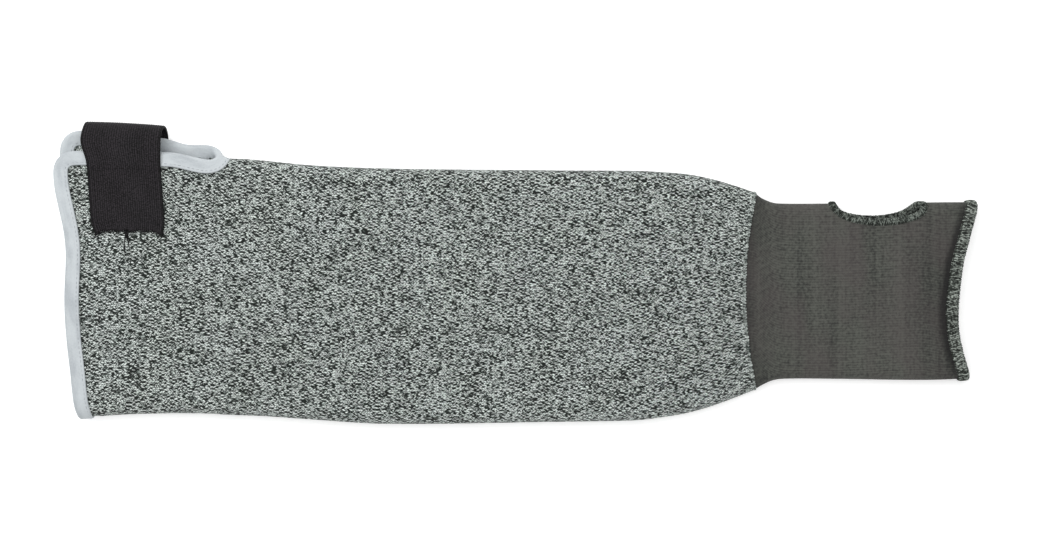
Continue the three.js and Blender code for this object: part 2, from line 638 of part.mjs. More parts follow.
function thumbEdge() {
  const middle = cuffShape(THUMB_X);
  const at = (x, y, side) => {
    const shape = cuffShape(x);
    const slope = shape.top(y + 0.5) - shape.top(y - 0.5);
    const z = side > 0 ? shape.top(y) : shape.bottom(y);
    const normal = side > 0 ? new THREE.Vector3(0, -slope, 1).normalize() : new THREE.Vector3(0, 0, -1);
    return { point: new THREE.Vector3(x, y, z), normal };
  };
  const edge = [];
  const half = THUMB_LENGTH / 2;
  const flat = middle.high - CUFF_FOLD_DEPTH;
  const turn = (depth) => Math.acos(clamp((middle.high - flat) / depth, -1, 1));
  const foldAt = (end) => {
    const shape = cuffShape(THUMB_X + end * half);
    const rise = (shape.top(flat) - shape.bottom(flat)) / 2;
    const centre = (shape.top(flat) + shape.bottom(flat)) / 2;
    return { rise, centre };
  };
  const onFold = (end, angle) => {
    const { rise, centre } = foldAt(end);
    const y = flat + CUFF_FOLD_DEPTH * Math.cos(angle);
    const z = centre + rise * Math.sin(angle);
    const depth = angle > 0 ? THUMB_DEPTH : LOWER_THUMB_DEPTH;
    const off = Math.sqrt(1 - ((middle.high - y) / depth) ** 2);
    const normal = new THREE.Vector3(0, Math.cos(angle) / CUFF_FOLD_DEPTH, Math.sin(angle) / rise);
    return { point: new THREE.Vector3(THUMB_X + end * half * off, y, z), normal: normal.normalize() };
  };
  const layer = (side, from, to) => {
    const depth = side > 0 ? THUMB_DEPTH : LOWER_THUMB_DEPTH;
    const reach = turn(depth);
    for (let i = 0; i <= THUMB_EDGE_STEPS; i++) {
      const a = lerp(from, to, i / THUMB_EDGE_STEPS) * reach;
      edge.push(at(THUMB_X + half * Math.sin(a), middle.high - depth * Math.cos(a), side));
    }
  };
  layer(1, -1, 1);
  for (let i = 1; i < 2 * THUMB_FOLD_STEPS; i++) {
    edge.push(onFold(1, (Math.PI / 2) * (1 - i / THUMB_FOLD_STEPS)));
  }
  layer(-1, 1, -1);
  for (let i = 1; i < 2 * THUMB_FOLD_STEPS; i++) {
    edge.push(onFold(-1, (Math.PI / 2) * (i / THUMB_FOLD_STEPS - 1)));
  }
  return edge.map((here) => {
    const outward = new THREE.Vector3(THUMB_X - here.point.x, 3 * (middle.high - here.point.y), 0);
    return { ...here, outward };
  });
}

const thumbHem = sweep(
  evenLoop(thumbEdge(), 1.1 * THUMB_HEM_WIDTH),
  foldedSection(HEM_NOSE, THUMB_REACH, THUMB_HEM_HEIGHT / 2, 0.26 * THUMB_HEM_HEIGHT),
).subtract(cuffRoom);

// Elastic strap: down the upper layer, round over both lips and back under the lower layer.
const STRAP_COLUMNS = 5;

function strapPath(x) {
  const shape = bodyShape(x);
  const half = STRAP_CLOTH / 2;
  const over = (y) => {
    const onTape = 1 - smoothstep(shape.upperLip - y, 1.1 * TAPE_REACH, 1.5 * TAPE_REACH);
    return shape.top(y) + lerp(BODY_WALL / 2, TAPE_HALF, onTape) + STRAP_GAP + half;
  };
  const path = [];
  for (const share of [1, 0.84, 0.68, 0.53, 0.39, 0.29, 0.224, 0.158, 0.08, 0]) {
    const y = shape.upperLip - share * STRAP_LAP;
    path.push([y, over(y)]);
  }
  const crest = over(shape.upperLip);
  const out = shape.lowerLip + STRAP_REACH - half;
  const start = shape.upperLip;
  path.push([lerp(start, out, 0.4), lerp(crest, half, 0.03)]);
  path.push([lerp(start, out, 0.75), lerp(crest, half, 0.17)]);
  for (const [back, fall] of [[0.06, 0.38], [0, 0.58], [0.11, 0.78], [0.41, 0.94], [0.79, 0.994]]) {
    path.push([out - back * STRAP_REACH, lerp(crest, half, fall)]);
  }
  for (const share of [0.03, 0.21, 0.42, 0.71, 1]) {
    path.push([shape.lowerLip - share * STRAP_LAP, half]);
  }
  return path;
}

function strapPoints() {
  const columns = [];
  for (let k = 0; k <= STRAP_COLUMNS; k++) {
    const across = STRAP_WIDTH * (k / STRAP_COLUMNS - 0.5);
    const lip = bodyEdges(strapMiddle(0, 0) + across).lowerLip;
    const path = strapPath(strapMiddle(0, 0) + across);
    const first = path.findIndex(([y]) => y > lip);
    columns.push(
      path.map(([y, z], i) => {
        const turned = smoothstep(i, first - 1, first + 6);
        return new THREE.Vector3(strapMiddle(y, lip) + across + STRAP_SKEW * turned, y, z);
      }),
    );
  }
  return columns;
}

const strap = cloth(strapPoints(), Infinity, () => STRAP_CLOTH);

const group = new THREE.Group();
function piece(name, solid, colour, roughness) {
  const mesh = solid.getMesh();
  const geometry = new THREE.BufferGeometry();
  geometry.setAttribute("position", new THREE.BufferAttribute(mesh.vertProperties, 3));
  geometry.setIndex(new THREE.BufferAttribute(mesh.triVerts, 1));
  geometry.computeVertexNormals();
  const material = new THREE.MeshStandardMaterial({ color: colour, roughness });
  const made = new THREE.Mesh(geometry, material);
  made.name = name;
  group.add(made);
}

piece("sleeve_body", body, "#7e8783", 0.95);
piece("wrist_cuff", cuff, "#51524e", 0.95);
piece("cuff_hem", palmHem, "#565954", 0.95);
piece("thumb_hole_hem", thumbHem, "#505550", 0.95);
piece("edge_binding", tape, "#bdc1c2", 0.8);
piece("elastic_strap", strap, "#2c2a2d", 0.7);

const box = new THREE.Box3().setFromObject(group);
const centre = box.getCenter(new THREE.Vector3());
group.children.forEach((mesh) => mesh.geometry.translate(-centre.x, -centre.y, -box.min.z));

export default group;
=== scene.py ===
"""A knitted cut resistant sleeve, lying flat and a little open on a white table, seen from above."""
import math

import bpy
import numpy as np
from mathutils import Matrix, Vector


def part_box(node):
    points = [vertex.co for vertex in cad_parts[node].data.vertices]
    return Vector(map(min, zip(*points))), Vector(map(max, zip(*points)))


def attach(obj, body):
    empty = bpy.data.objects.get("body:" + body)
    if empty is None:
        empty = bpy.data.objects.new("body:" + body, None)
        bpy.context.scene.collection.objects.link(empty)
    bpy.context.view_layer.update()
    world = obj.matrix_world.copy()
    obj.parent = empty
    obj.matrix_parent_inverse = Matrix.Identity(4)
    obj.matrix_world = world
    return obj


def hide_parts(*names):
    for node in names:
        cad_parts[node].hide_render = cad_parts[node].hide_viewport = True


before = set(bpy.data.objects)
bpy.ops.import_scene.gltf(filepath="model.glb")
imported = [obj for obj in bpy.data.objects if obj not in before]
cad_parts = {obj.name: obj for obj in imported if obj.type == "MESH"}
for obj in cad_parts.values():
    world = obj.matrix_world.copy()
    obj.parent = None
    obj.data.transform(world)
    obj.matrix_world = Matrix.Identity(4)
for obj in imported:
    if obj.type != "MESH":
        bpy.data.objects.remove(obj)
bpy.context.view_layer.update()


# The table, the light and the camera.
# The sleeve lies on a white sheet under a large soft light, and is photographed from straight above
# with a long lens.
scene = bpy.context.scene
scene.view_settings.view_transform = "Standard"
scene.view_settings.look = "None"

MM = 0.001
PHOTO_PIXEL = 0.495 * MM
PHOTO_SIZE = (1039, 551)
SLEEVE_MIDDLE_IN_PHOTO = (516.0, 272.0)
CAMERA_FOCUS_HEIGHT = 10 * MM


class Finish:
    """A material whose nodes are added one by one and worked on as Python expressions."""

    def __init__(self, name, **shader):
        self.material = bpy.data.materials.new(name)
        self.material.use_nodes = True
        self.tree = self.material.node_tree
        self.shader = self.tree.nodes["Principled BSDF"]
        for socket, value in shader.items():
            self.shader.inputs[socket.replace("_", " ")].default_value = value

    def node(self, kind, sockets=(), out=0, stops=None, **settings):
        made = self.tree.nodes.new("ShaderNode" + kind)
        for key, value in settings.items():
            setattr(made, key, value)
        if stops:
            ramp = made.color_ramp.elements
            while len(ramp) < len(stops):
                ramp.new(0.5)
            for element, (place, colour) in zip(ramp, stops):
                element.position = place
                element.color = colour
        for socket, value in dict(sockets).items():
            if isinstance(value, Wire):
                self.tree.links.new(value.socket, made.inputs[socket])
            else:
                made.inputs[socket].default_value = value
        return Wire(self, made.outputs[out])

    def split(self, vector):
        apart = self.node("SeparateXYZ", {0: vector})
        return [Wire(self, socket) for socket in apart.socket.node.outputs]

    def join(self, x, y, z=0.0):
        return self.node("CombineXYZ", {0: x, 1: y, 2: z})

    def noise(self, x, y, detail, roughness=0.5, out=0, **settings):
        """Soft noise over two values, with grains about one of each value's units across."""
        sockets = {"Vector": self.join(x, y), "Scale": 1.0, "Detail": detail, "Roughness": roughness}
        return self.node("TexNoise", sockets, out, **settings)

    def blend(self, share, first, second):
        return self.node("Mix", {0: share, 6: first, 7: second}, out=2, data_type="RGBA")

    def feed(self, socket, wire):
        self.tree.links.new(wire.socket, self.shader.inputs[socket])

    def bump(self, height, depth, strength=1.0):
        self.feed("Normal", self.node("Bump", {"Height": height, "Distance": depth, "Strength": strength}))


class Wire:
    """One output of a material's node, with the operators of a number."""

    def __init__(self, finish, socket):
        self.finish = finish
        self.socket = socket

    def maths(self, operation, *others):
        return self.finish.node("Math", dict(enumerate((self, *others))), operation=operation)

    def __add__(self, other):
        return self.maths("ADD", other)

    def __sub__(self, other):
        return self.maths("SUBTRACT", other)

    def __rsub__(self, other):
        return self.finish.node("Math", {0: other, 1: self}, operation="SUBTRACT")

    def __mul__(self, other):
        return self.maths("MULTIPLY", other)

    def __truediv__(self, other):
        return self.maths("DIVIDE", other)

    def __pow__(self, other):
        return self.maths("POWER", other)

    __radd__ = __add__
    __rmul__ = __mul__

    def floor(self):
        return self.maths("FLOOR")

    def part(self):
        return self.maths("FRACT")

    def size(self):
        return self.maths("ABSOLUTE")

    def rise(self, low, high):
        """0 below low and 1 above high, with a smooth rise between them."""
        sockets = {0: self, 1: low, 2: high, 3: 0.0, 4: 1.0}
        return self.finish.node("MapRange", sockets, interpolation_type="SMOOTHSTEP")


def srgb(red, green, blue):
    """A colour read from 0 to 255, as the linear colour that a shader takes."""
    linear = [((c / 255 + 0.055) / 1.055) ** 2.4 if c > 10 else c / 255 / 12.92 for c in (red, green, blue)]
    return (*linear, 1.0)


bpy.ops.mesh.primitive_plane_add(size=6)
table = bpy.context.object
table.name = "table"
table_finish = Finish("table_white", Base_Color=(0.96, 0.96, 0.96, 1), Roughness=0.9,
                      Emission_Color=(1, 1, 1, 1), Emission_Strength=0.35)
table.data.materials.append(table_finish.material)

sky = bpy.data.worlds.new("studio")
sky.use_nodes = True
sky.node_tree.nodes["Background"].inputs[0].default_value = (1, 1, 1, 1)
sky.node_tree.nodes["Background"].inputs[1].default_value = 0.42
scene.world = sky

for lamp_name, place, power, width in (
    ("softbox_over", (0.0, 0.2, 1.9), 20, 1.6),
    ("softbox_left", (-1.0, 0.9, 1.3), 11, 0.8),
):
    light = bpy.data.lights.new(lamp_name, "AREA")
    light.energy = power
    light.size = width
    lamp = bpy.data.objects.new(lamp_name, light)
    lamp.location = place
    lamp.rotation_euler = (-Vector(place)).to_track_quat("-Z", "Y").to_euler()
    scene.collection.objects.link(lamp)

lens = bpy.data.cameras.new("camera")
lens.lens = 85
lens.sensor_width = 36
lens.clip_end = 20
camera = bpy.data.objects.new("camera", lens)
frame_width = PHOTO_SIZE[0] * PHOTO_PIXEL
offset = [
    (PHOTO_SIZE[0] / 2 - SLEEVE_MIDDLE_IN_PHOTO[0]) * PHOTO_PIXEL,
    (SLEEVE_MIDDLE_IN_PHOTO[1] - PHOTO_SIZE[1] / 2) * PHOTO_PIXEL,
]
camera.location = (*offset, CAMERA_FOCUS_HEIGHT + frame_width * lens.lens / lens.sensor_width)
scene.collection.objects.link(camera)
scene.camera = camera


# The body: a tube of plain knit in a marl of pale grey-green and black yarn, 2 mm thick. Its arm end
# is split along the near fold, and it narrows to the cuff, which is knitted on. Lengths here are in
# millimetres, along X from the cuff seam, and are moved onto the model's frame at the end.
BODY_LENGTH, BODY_WIDTH, BODY_HEIGHT, BODY_WALL = 340.5, 127, 17, 2
BOUND_WALL = 1.2
BODY_FOLD_DEPTH = 7
SEAM_WIDTH, SEAM_HEIGHT, SEAM_BOW = 98, 14, 5.4
SPLIT_LENGTH, SPLIT_SPREAD, SPLIT_TURN, SPLIT_DROOP = 80, 10, 6, 12
ARM_SLANT, ARM_CORNER = 12, 9
TAPE_WIDTH, TAPE_CLOTH, TAPE_GAP = 7.4, 1.0, 0.4
STRAP_WIDTH, STRAP_CLOTH, STRAP_GAP = 38, 1.4, 0.45
STRAP_FROM_ARM, STRAP_LAP, STRAP_REACH, STRAP_LEAN, STRAP_SKEW = 12, 38, 6.3, 4.5, 4
TURN_LIFT, LIFT_FADE, FLANK_SHARE = 0.8, 12, 0.86
TAPE_HALF = BOUND_WALL / 2 + TAPE_GAP + TAPE_CLOTH
TAPE_NOSE = TAPE_GAP + TAPE_CLOTH
TAPE_REACH = TAPE_WIDTH - TAPE_NOSE
SPLIT_END = SPLIT_LENGTH - BODY_LENGTH
SEAM_HALF = (SEAM_WIDTH - BODY_WALL) / 2
BODY_HALF = (BODY_WIDTH - BODY_WALL) / 2

# along (share of the length from the arm end), low edge, high edge (0 as the seam, 1 as half the
# body's width), height (0 as the seam, 1 as the body)
BODY_SECTIONS = np.array([
    (0.0, 1.0, 1.76, 1.0), (0.034, 0.96, 1.74, 1.0), (0.09, 0.85, 1.69, 0.98), (0.158, 0.8, 1.57, 0.95),
    (0.19, 0.8, 1.42, 0.93), (0.222, 0.81, 1.33, 0.92), (0.25, 0.855, 1.19, 0.92),
    (0.296, 0.89, 1.1, 0.94), (0.369, 1.01, 0.93, 0.97), (0.478, 1.16, 0.82, 1.0),
    (0.73, 1.09, 0.755, 0.92), (0.842, 1.04, 0.74, 0.8), (0.879, 0.94, 0.7, 0.7),
    (0.915, 0.8, 0.63, 0.58), (0.951, 0.566, 0.47, 0.4), (0.988, 0.25, 0.22, 0.15), (1.015, 0, 0, 0),
])
SPLIT_SECTIONS = np.array([
    (0, 1.1), (0.15, 1.06), (0.45, 0.88), (0.66, 0.72), (0.77, 0.54), (0.9, 0.74), (1, 0.84)])
ARM_EDGE = np.array([
    (0, 1), (0.06, 0.86), (0.16, 0.76), (0.3, 0.6), (0.44, 0.52), (0.62, 0.58), (0.71, 0.48),
    (0.78, 0.31), (0.88, 0.08), (1, 0)])
# along, its reach along, across, its reach across, depth, as shares of the body
BODY_DENTS = [
    (0.27, 0.05, 0.28, 0.2, 0.07), (0.4, 0.09, -0.22, 0.24, 0.06),
    (0.69, 0.07, 0.12, 0.3, 0.07), (0.88, 0.035, -0.16, 0.16, 0.05)]


def through(table_rows, column, at):
    """A smooth curve through one column of a table, at the given places."""
    keys, values = table_rows[:, 0], table_rows[:, column]
    low, high = np.maximum(np.arange(len(keys)) - 1, 0), np.minimum(np.arange(len(keys)) + 1, len(keys) - 1)
    slopes = (values[high] - values[low]) / (keys[high] - keys[low])
    x = np.clip(at, keys[0], keys[-1])
    i = np.clip(np.searchsorted(keys, x) - 1, 0, len(keys) - 2)
    span = keys[i + 1] - keys[i]
    t = (x - keys[i]) / span
    ends = values[i] + (values[i + 1] - values[i]) * t * t * (3 - 2 * t)
    return ends + span * t * (1 - t) * (slopes[i] * (1 - t) - slopes[i + 1] * t)


def ease(x, low, high):
    t = np.clip((x - low) / (high - low), 0, 1)
    return t * t * (3 - 2 * t)


def near(distance, reach):
    return 1 - ease(distance, reach, reach + LIFT_FADE)


def dents_at(dents, along, across, height):
    depth = 0
    for at, long, aside, wide, deep in dents:
        depth = depth + deep * height * np.exp(-((along - at) / long) ** 2 - ((across - aside) / wide) ** 2)
    return depth


def body_edges(x):
    share = 1 + x / BODY_LENGTH
    low = -(SEAM_HALF + (BODY_HALF - SEAM_HALF) * through(BODY_SECTIONS, 1, share))
    high = SEAM_HALF + (BODY_HALF - SEAM_HALF) * through(BODY_SECTIONS, 2, share)
    left = np.clip((SPLIT_END - x) / SPLIT_TURN, 0, 1)
    is_open = np.sqrt(1 - (1 - left) ** 2)
    spread = is_open * SPLIT_SPREAD * through(SPLIT_SECTIONS, 1, (x + BODY_LENGTH) / SPLIT_LENGTH) / 2
    return low, high, is_open, high - spread, high + spread


def strap_middle(y, lip):
    return STRAP_FROM_ARM + STRAP_WIDTH / 2 - BODY_LENGTH + math.tan(math.radians(STRAP_LEAN)) * (lip - y)


def body_lift(x, y, lower_lip):
    from_lip = np.hypot(lower_lip - y, np.maximum(x - SPLIT_END, 0))
    from_turn = np.hypot(lower_lip - y, x - SPLIT_END)
    aside = x - strap_middle(y, lower_lip) - STRAP_SKEW - STRAP_WIDTH / 2
    inside = lower_lip - STRAP_LAP - y
    tape = np.maximum(near(x + BODY_LENGTH - ARM_SLANT, TAPE_WIDTH), near(from_lip, TAPE_WIDTH + 4))
    strap = near(np.hypot(np.maximum(aside, 0), np.maximum(inside, 0)), 3)
    lift = tape * (TAPE_HALF + 0.2 - BODY_WALL / 2)
    return lift + near(from_turn, 4) * TURN_LIFT + strap * (STRAP_CLOTH + STRAP_GAP)


def body_shape(x):
    low, high, is_open, upper_lip, lower_lip = body_edges(x)
    share = 1 + x / BODY_LENGTH
    height = SEAM_HEIGHT + (BODY_HEIGHT - SEAM_HEIGHT) * through(BODY_SECTIONS, 3, share) - BODY_WALL
    middle, half = (low + upper_lip) / 2, (upper_lip - low) / 2 - BODY_FOLD_DEPTH / 2

    def top(y):
        u = np.clip((y - middle) / half, -1, 1)
        crown = (FLANK_SHARE + (1 - FLANK_SHARE) * (1 - u * u)) * height
        return BODY_WALL / 2 + crown - dents_at(BODY_DENTS, share, y / BODY_WIDTH, BODY_HEIGHT)

    def bottom(y):
        return BODY_WALL / 2 + body_lift(x, y, lower_lip)

    bend = math.pi / 2 + (math.radians(SPLIT_DROOP) - math.pi / 2) * is_open
    return low, upper_lip, lower_lip, BODY_FOLD_DEPTH, bend, top, bottom


NEAR_ROWS = [0, 0.7, 1.5, 2.4, 3.4, 4.5, 5.8, 7.2, 9, 11]
FLAT_STEPS, FOLD_STEPS = 36, 9
FINE_FOLD, FINE_FLAT = 25, 81
FAR_OFF = 1e6
LAYER_ROWS = len(NEAR_ROWS) - 1 + FLAT_STEPS + FOLD_STEPS


def layer_line(shape, side):
    """Half a section: points of the wall's middle from the lip to the middle of the far fold, and how
    far round from that fold each lies."""
    low, upper_lip, lower_lip, depth, bend, top, bottom = shape
    lip, height = (upper_lip, top) if side > 0 else (lower_lip, bottom)
    start, far = lip - depth * math.sin(bend), low + depth
    near_rise, far_rise = (top(start) - bottom(start)) / 2, (top(far) - bottom(far)) / 2
    far_middle = (top(far) + bottom(far)) / 2
    a = bend * np.linspace(1, 0, FINE_FOLD)
    bent = [start + depth * np.sin(a), height(start) - side * near_rise * (1 - np.cos(a))]
    y = np.linspace(start, far, FINE_FLAT)[1:]
    flat = [y, height(y)]
    a = np.linspace(0, math.pi / 2, FINE_FOLD)[1:]
    fold = [far - depth * np.sin(a), far_middle + side * far_rise * np.cos(a)]
    ys, zs = (np.concatenate(parts) for parts in zip(bent, flat, fold))
    run = np.concatenate([[0], np.cumsum(np.hypot(np.diff(ys), np.diff(zs)))])
    fold_start = run[len(bent[0]) + len(flat[0]) - 1]
    stops = np.concatenate([
        NEAR_ROWS,
        np.linspace(NEAR_ROWS[-1], fold_start, FLAT_STEPS + 1)[1:],
        np.linspace(fold_start, run[-1], FOLD_STEPS + 1)[1:],
    ])
    return np.stack([np.interp(stops, run, ys), np.interp(stops, run, zs), run[-1] - stops], axis=1)


def section_line(shape):
    """A whole section, from the lower lip round the far fold, where its third column is 0, to the upper
    lip."""
    lower, upper = layer_line(shape, -1), layer_line(shape, 1)
    lower[:, 2] *= -1
    return np.concatenate([lower, upper[-2::-1]])


LIP_DISTANCE = np.full(2 * LAYER_ROWS + 1, FAR_OFF)
LIP_DISTANCE[:len(NEAR_ROWS)] = NEAR_ROWS
LIP_DISTANCE[-len(NEAR_ROWS):] = NEAR_ROWS[::-1]


def tube_points(stations, shape_at, shift, lattice):
    """A tube's points, station by station. shift moves each along X off its plain station, and its
    section there gives Y and Z, read from the sections of a fine lattice."""
    sections = np.array([section_line(shape_at(x)) for x in lattice])
    points = []
    for station in stations:
        low, upper_lip, *_ = shape_at(station)
        plain = np.array([np.interp(station, lattice, sections[:, j, 0]) for j in range(sections.shape[1])])
        across = np.clip((plain - low) / (upper_lip - low), 0, 1)
        x = station + shift(station, across)
        row = [x] + [
            np.array([np.interp(x[j], lattice, sections[:, j, k]) for j in range(len(x))]) for k in range(3)]
        points.append(np.stack(row, axis=1))
    points = np.array(points)
    return points[:, :, :3], points[:, :, 3]


def surface_normals(points, joined):
    """The middle surface's outward normals. From station joined on, the first and last row are one."""
    end = len(points) - 1
    back = points[np.maximum(np.arange(end + 1) - 1, 0)].copy()
    ahead = points[np.minimum(np.arange(end + 1) + 1, end)]
    before = np.concatenate([points[:, :1], points[:, :-1]], axis=1).copy()
    after = np.concatenate([points[:, 1:], points[:, -1:]], axis=1).copy()
    if joined <= end:
        before[joined:, 0] = before[joined:, -1] = points[joined:, -2]
        after[joined:, 0] = after[joined:, -1] = points[joined:, 1]
        back[joined:, 0] = back[joined:, -1] = (back[joined:, 0] + back[joined:, -1]) / 2
    normals = np.cross(ahead - back, after - before)
    return normals / np.linalg.norm(normals, axis=2, keepdims=True)


def mesh_of(name, positions, faces, uvs, finishes, inner=None):
    """A piece from points in the sleeve's own millimetres. uvs gives each UV map's values, corner by
    corner, and inner the faces that take the second finish."""
    mesh = bpy.data.meshes.new(name)
    mesh.from_pydata((np.asarray(positions) * MM + place_shift).tolist(), [], faces)
    for map_name, values in uvs.items():
        layer = mesh.uv_layers.new(name=map_name)
        layer.data.foreach_set("uv", np.asarray(values, dtype=np.float32).ravel())
    mesh.polygons.foreach_set("use_smooth", [True] * len(mesh.polygons))
    for finish in finishes:
        mesh.materials.append(finish.material)
    if inner is not None:
        mesh.polygons.foreach_set("material_index", inner)
    piece = bpy.data.objects.new(name, mesh)
    scene.collection.objects.link(piece)
    return piece


def cloth(name, points, normals, joined, thickness, uv_grids, finishes):
    """A cloth about its middle surface, closed round its free edges."""
    stations, rows = points.shape[:2]
    last, end, count = rows - 1, stations - 1, stations * rows
    outer = points + normals * (thickness / 2)[..., None]
    inner = points - normals * (thickness / 2)[..., None]
    positions = np.concatenate([outer.reshape(-1, 3), inner.reshape(-1, 3)])
    quads = []
    for i in range(end):
        for j in range(last):
            quads.append(((i, j, 0), (i + 1, j, 0), (i + 1, j + 1, 0), (i, j + 1, 0)))
            quads.append(((i, j, 1), (i, j + 1, 1), (i + 1, j + 1, 1), (i + 1, j, 1)))
        if i < joined:
            quads.append(((i + 1, 0, 0), (i, 0, 0), (i, 0, 1), (i + 1, 0, 1)))
            quads.append(((i, last, 0), (i + 1, last, 0), (i + 1, last, 1), (i, last, 1)))
    for j in range(last):
        quads.append(((0, j, 0), (0, j + 1, 0), (0, j + 1, 1), (0, j, 1)))
        quads.append(((end, j + 1, 0), (end, j, 0), (end, j, 1), (end, j + 1, 1)))

    def vertex(i, j, side):
        return side * count + i * rows + (0 if i >= joined and j == last else j)

    faces = np.array([[vertex(*corner) for corner in quad] for quad in quads])
    uvs = {key: [grid[i, j] for quad in quads for i, j, _ in quad] for key, grid in uv_grids.items()}
    inside = [int(all(side for _, _, side in quad)) for quad in quads]
    used, faces = np.unique(faces, return_inverse=True)
    faces = faces.reshape(-1, 4).tolist()
    return mesh_of(name, positions[used], faces, uvs, finishes, inside if len(finishes) > 1 else None)


def body_shift(station, across):
    lip = np.maximum(ARM_CORNER - LIP_DISTANCE, 0)
    corner = ARM_CORNER - np.sqrt(ARM_CORNER ** 2 - lip ** 2)
    lower = np.where(np.arange(len(across)) < LAYER_ROWS, 0.15 * ease(across, 0.6, 1), 0)
    arm = ARM_SLANT * (through(ARM_EDGE, 1, across) + lower) + corner
    bow = SEAM_BOW * (2 * across - 1) ** 2
    return arm * (1 - ease((station + BODY_LENGTH) / 60, 0, 1)) + bow * (1 - ease(-station / 40, 0, 1))


SPLIT_STATIONS, TURN_STATIONS, TURN_LATTICE = 47, 12, 30
JOINED = SPLIT_STATIONS + TURN_STATIONS - 1
WRIST_START = -60
turn = SPLIT_END - SPLIT_TURN * (1 - np.cos(np.linspace(math.pi / 2, 0, TURN_STATIONS)))
body_stations = np.concatenate([
    np.linspace(-BODY_LENGTH, SPLIT_END - SPLIT_TURN, SPLIT_STATIONS + 1)[:-1], turn,
    SPLIT_END + np.array([0.8, 1.8, 3, 4.5, 6.5, 9]),
    np.linspace(SPLIT_END + 11, WRIST_START, 72), np.linspace(WRIST_START, 0, 31)[1:],
])
body_lattice = np.unique(np.concatenate([
    np.arange(-BODY_LENGTH - 2, 8, 1.0),
    SPLIT_END - SPLIT_TURN * (1 - np.cos(np.linspace(0, math.pi / 2, TURN_LATTICE)))]))
body_points, body_round = tube_points(body_stations, body_shape, body_shift, body_lattice)
body_normals = surface_normals(body_points, JOINED)

# where the model's frame has the sleeve's own zero
lo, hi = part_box("sleeve_body")
faces_out = np.concatenate([(body_points + body_normals * s).reshape(-1, 3) for s in (1, -1)])
place_shift = (np.array(lo) + np.array(hi)) / 2 - (faces_out.min(0) + faces_out.max(0)) / 2 * MM
place_shift[2] = lo[2] - faces_out.min(0)[2] * MM

WALES, COURSE = 164, 1.25
body_half_round = body_stations * 0
for i, station in enumerate(body_stations):
    low_edge, high_edge, *_ = body_edges(station)
    body_half_round[i] = high_edge - low_edge + BODY_FOLD_DEPTH
body_uv = np.stack([
    body_points[:, :, 0] / COURSE, body_round / body_half_round[:, None] * WALES / 2], axis=2)


def edge_loop():
    """The body's whole cut edge: points, normals and the way out of the cloth."""
    last = body_points.shape[1] - 1
    places = [(0, j) for j in range(1, last)] + [(i, last) for i in range(JOINED)]
    places += [(i, 0) for i in range(JOINED, -1, -1)]
    inside = [(1, j) for j in range(1, last)] + [(i, last - 1) for i in range(JOINED)]
    inside += [(JOINED + 1, 0)] + [(i, 1) for i in range(JOINED - 1, -1, -1)]
    points = np.array([body_points[place] for place in places])
    normals = np.array([body_normals[place] for place in places])
    return points, normals, points - np.array([body_points[place] for place in inside])


arm_loop = edge_loop()
to_edge = np.full(body_points.shape[:2], FAR_OFF)
for edge_point in arm_loop[0][::2]:
    to_edge = np.minimum(to_edge, np.linalg.norm(body_points - edge_point, axis=2))
body_thickness = BOUND_WALL + (BODY_WALL - BOUND_WALL) * ease(to_edge, TAPE_REACH + 1, TAPE_REACH + 5)

PALE_YARN, MIXED_YARN, BLACK_YARN = srgb(213, 222, 217), srgb(140, 149, 145), srgb(30, 37, 33)
PALEST_YARN, PAINTED_GAP_SHADE = srgb(226, 233, 229), srgb(18, 22, 20)


def marled_knit(name, inside):
    """Plain knit in marled yarn: columns of slanted legs outside, rows of bumps inside."""
    finish = Finish(name, Roughness=0.9, Specular_IOR_Level=0.2, Sheen_Weight=0.08, Sheen_Roughness=0.6)
    course, wale, _ = finish.split(finish.node("UVMap", uv_map="UVMap"))
    if inside:
        course, wale = wale * 1.35, course * 0.74
    sway_x, sway_y, _ = finish.split(finish.noise(course * 0.22, wale * 0.3, 3.0, 0.6, out=1))
    course = course + (sway_x - 0.5) * 2.6
    wale = wale + (sway_y - 0.5) * 1.3
    column = (wale * 2).floor()
    across = (wale * 2).part() - 0.5
    lean = (column / 2).part() * 4 - 1
    along = course + across * lean * 0.8
    row = along.floor()
    in_row = along.part() - 0.5
    leg = (1 - (across / 0.51) ** 2).maths("MAXIMUM", 0.0).maths("SQRT")
    leg = leg * (1 - (in_row.size() * 2) ** 4 * 0.75)
    luck = finish.node("TexWhiteNoise", {"Vector": finish.join(row, column)}, noise_dimensions="2D")
    shade = finish.node("TexWhiteNoise", {"Vector": finish.join(row + 31.7, column)}, noise_dimensions="2D")
    dash = finish.noise(along * 1.05, column * 7.31, 2.0, noise_dimensions="2D")
    cloud = finish.noise(course * 0.05, wale * 0.07, 2.0)
    ply = ((column * 0.42 + row * 0.31 + dash * 1.6).part() * 2 - 1).size()
    tone = ply * 0.7 + luck * 0.42 + (dash - 0.5) * 0.3 + (cloud - 0.5) * 0.1 + (shade - 0.5) * 0.12 + 0.05
    yarn = finish.node("ValToRGB", {0: tone}, stops=[
        (0.52, BLACK_YARN), (0.59, MIXED_YARN), (0.68, PALE_YARN), (0.9, PALEST_YARN)])
    yarn = finish.node("HueSaturation", {
        "Color": yarn, "Hue": 0.485 + luck * 0.03 + (cloud - 0.5) * 0.1,
        "Saturation": 0.8 + shade * 0.5, "Value": 0.94 + shade * 0.26})
    # Painted shade: each leg darkens towards its sides and ends, down to near-black in the gaps between legs.
    finish.feed("Base Color", finish.blend(leg.rise(0.2, 0.9), PAINTED_GAP_SHADE, yarn))
    finish.bump(leg + tone * 0.3, 0.0006, 0.85)
    return finish


marl = marled_knit("marl_knit", inside=False)
marl_inside = marled_knit("marl_knit_inside", inside=True)
sleeve = cloth("sleeve_knit", body_points, body_normals, JOINED, body_thickness, {"UVMap": body_uv},
               [marl, marl_inside])
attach(sleeve, "root")
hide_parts("sleeve_body")


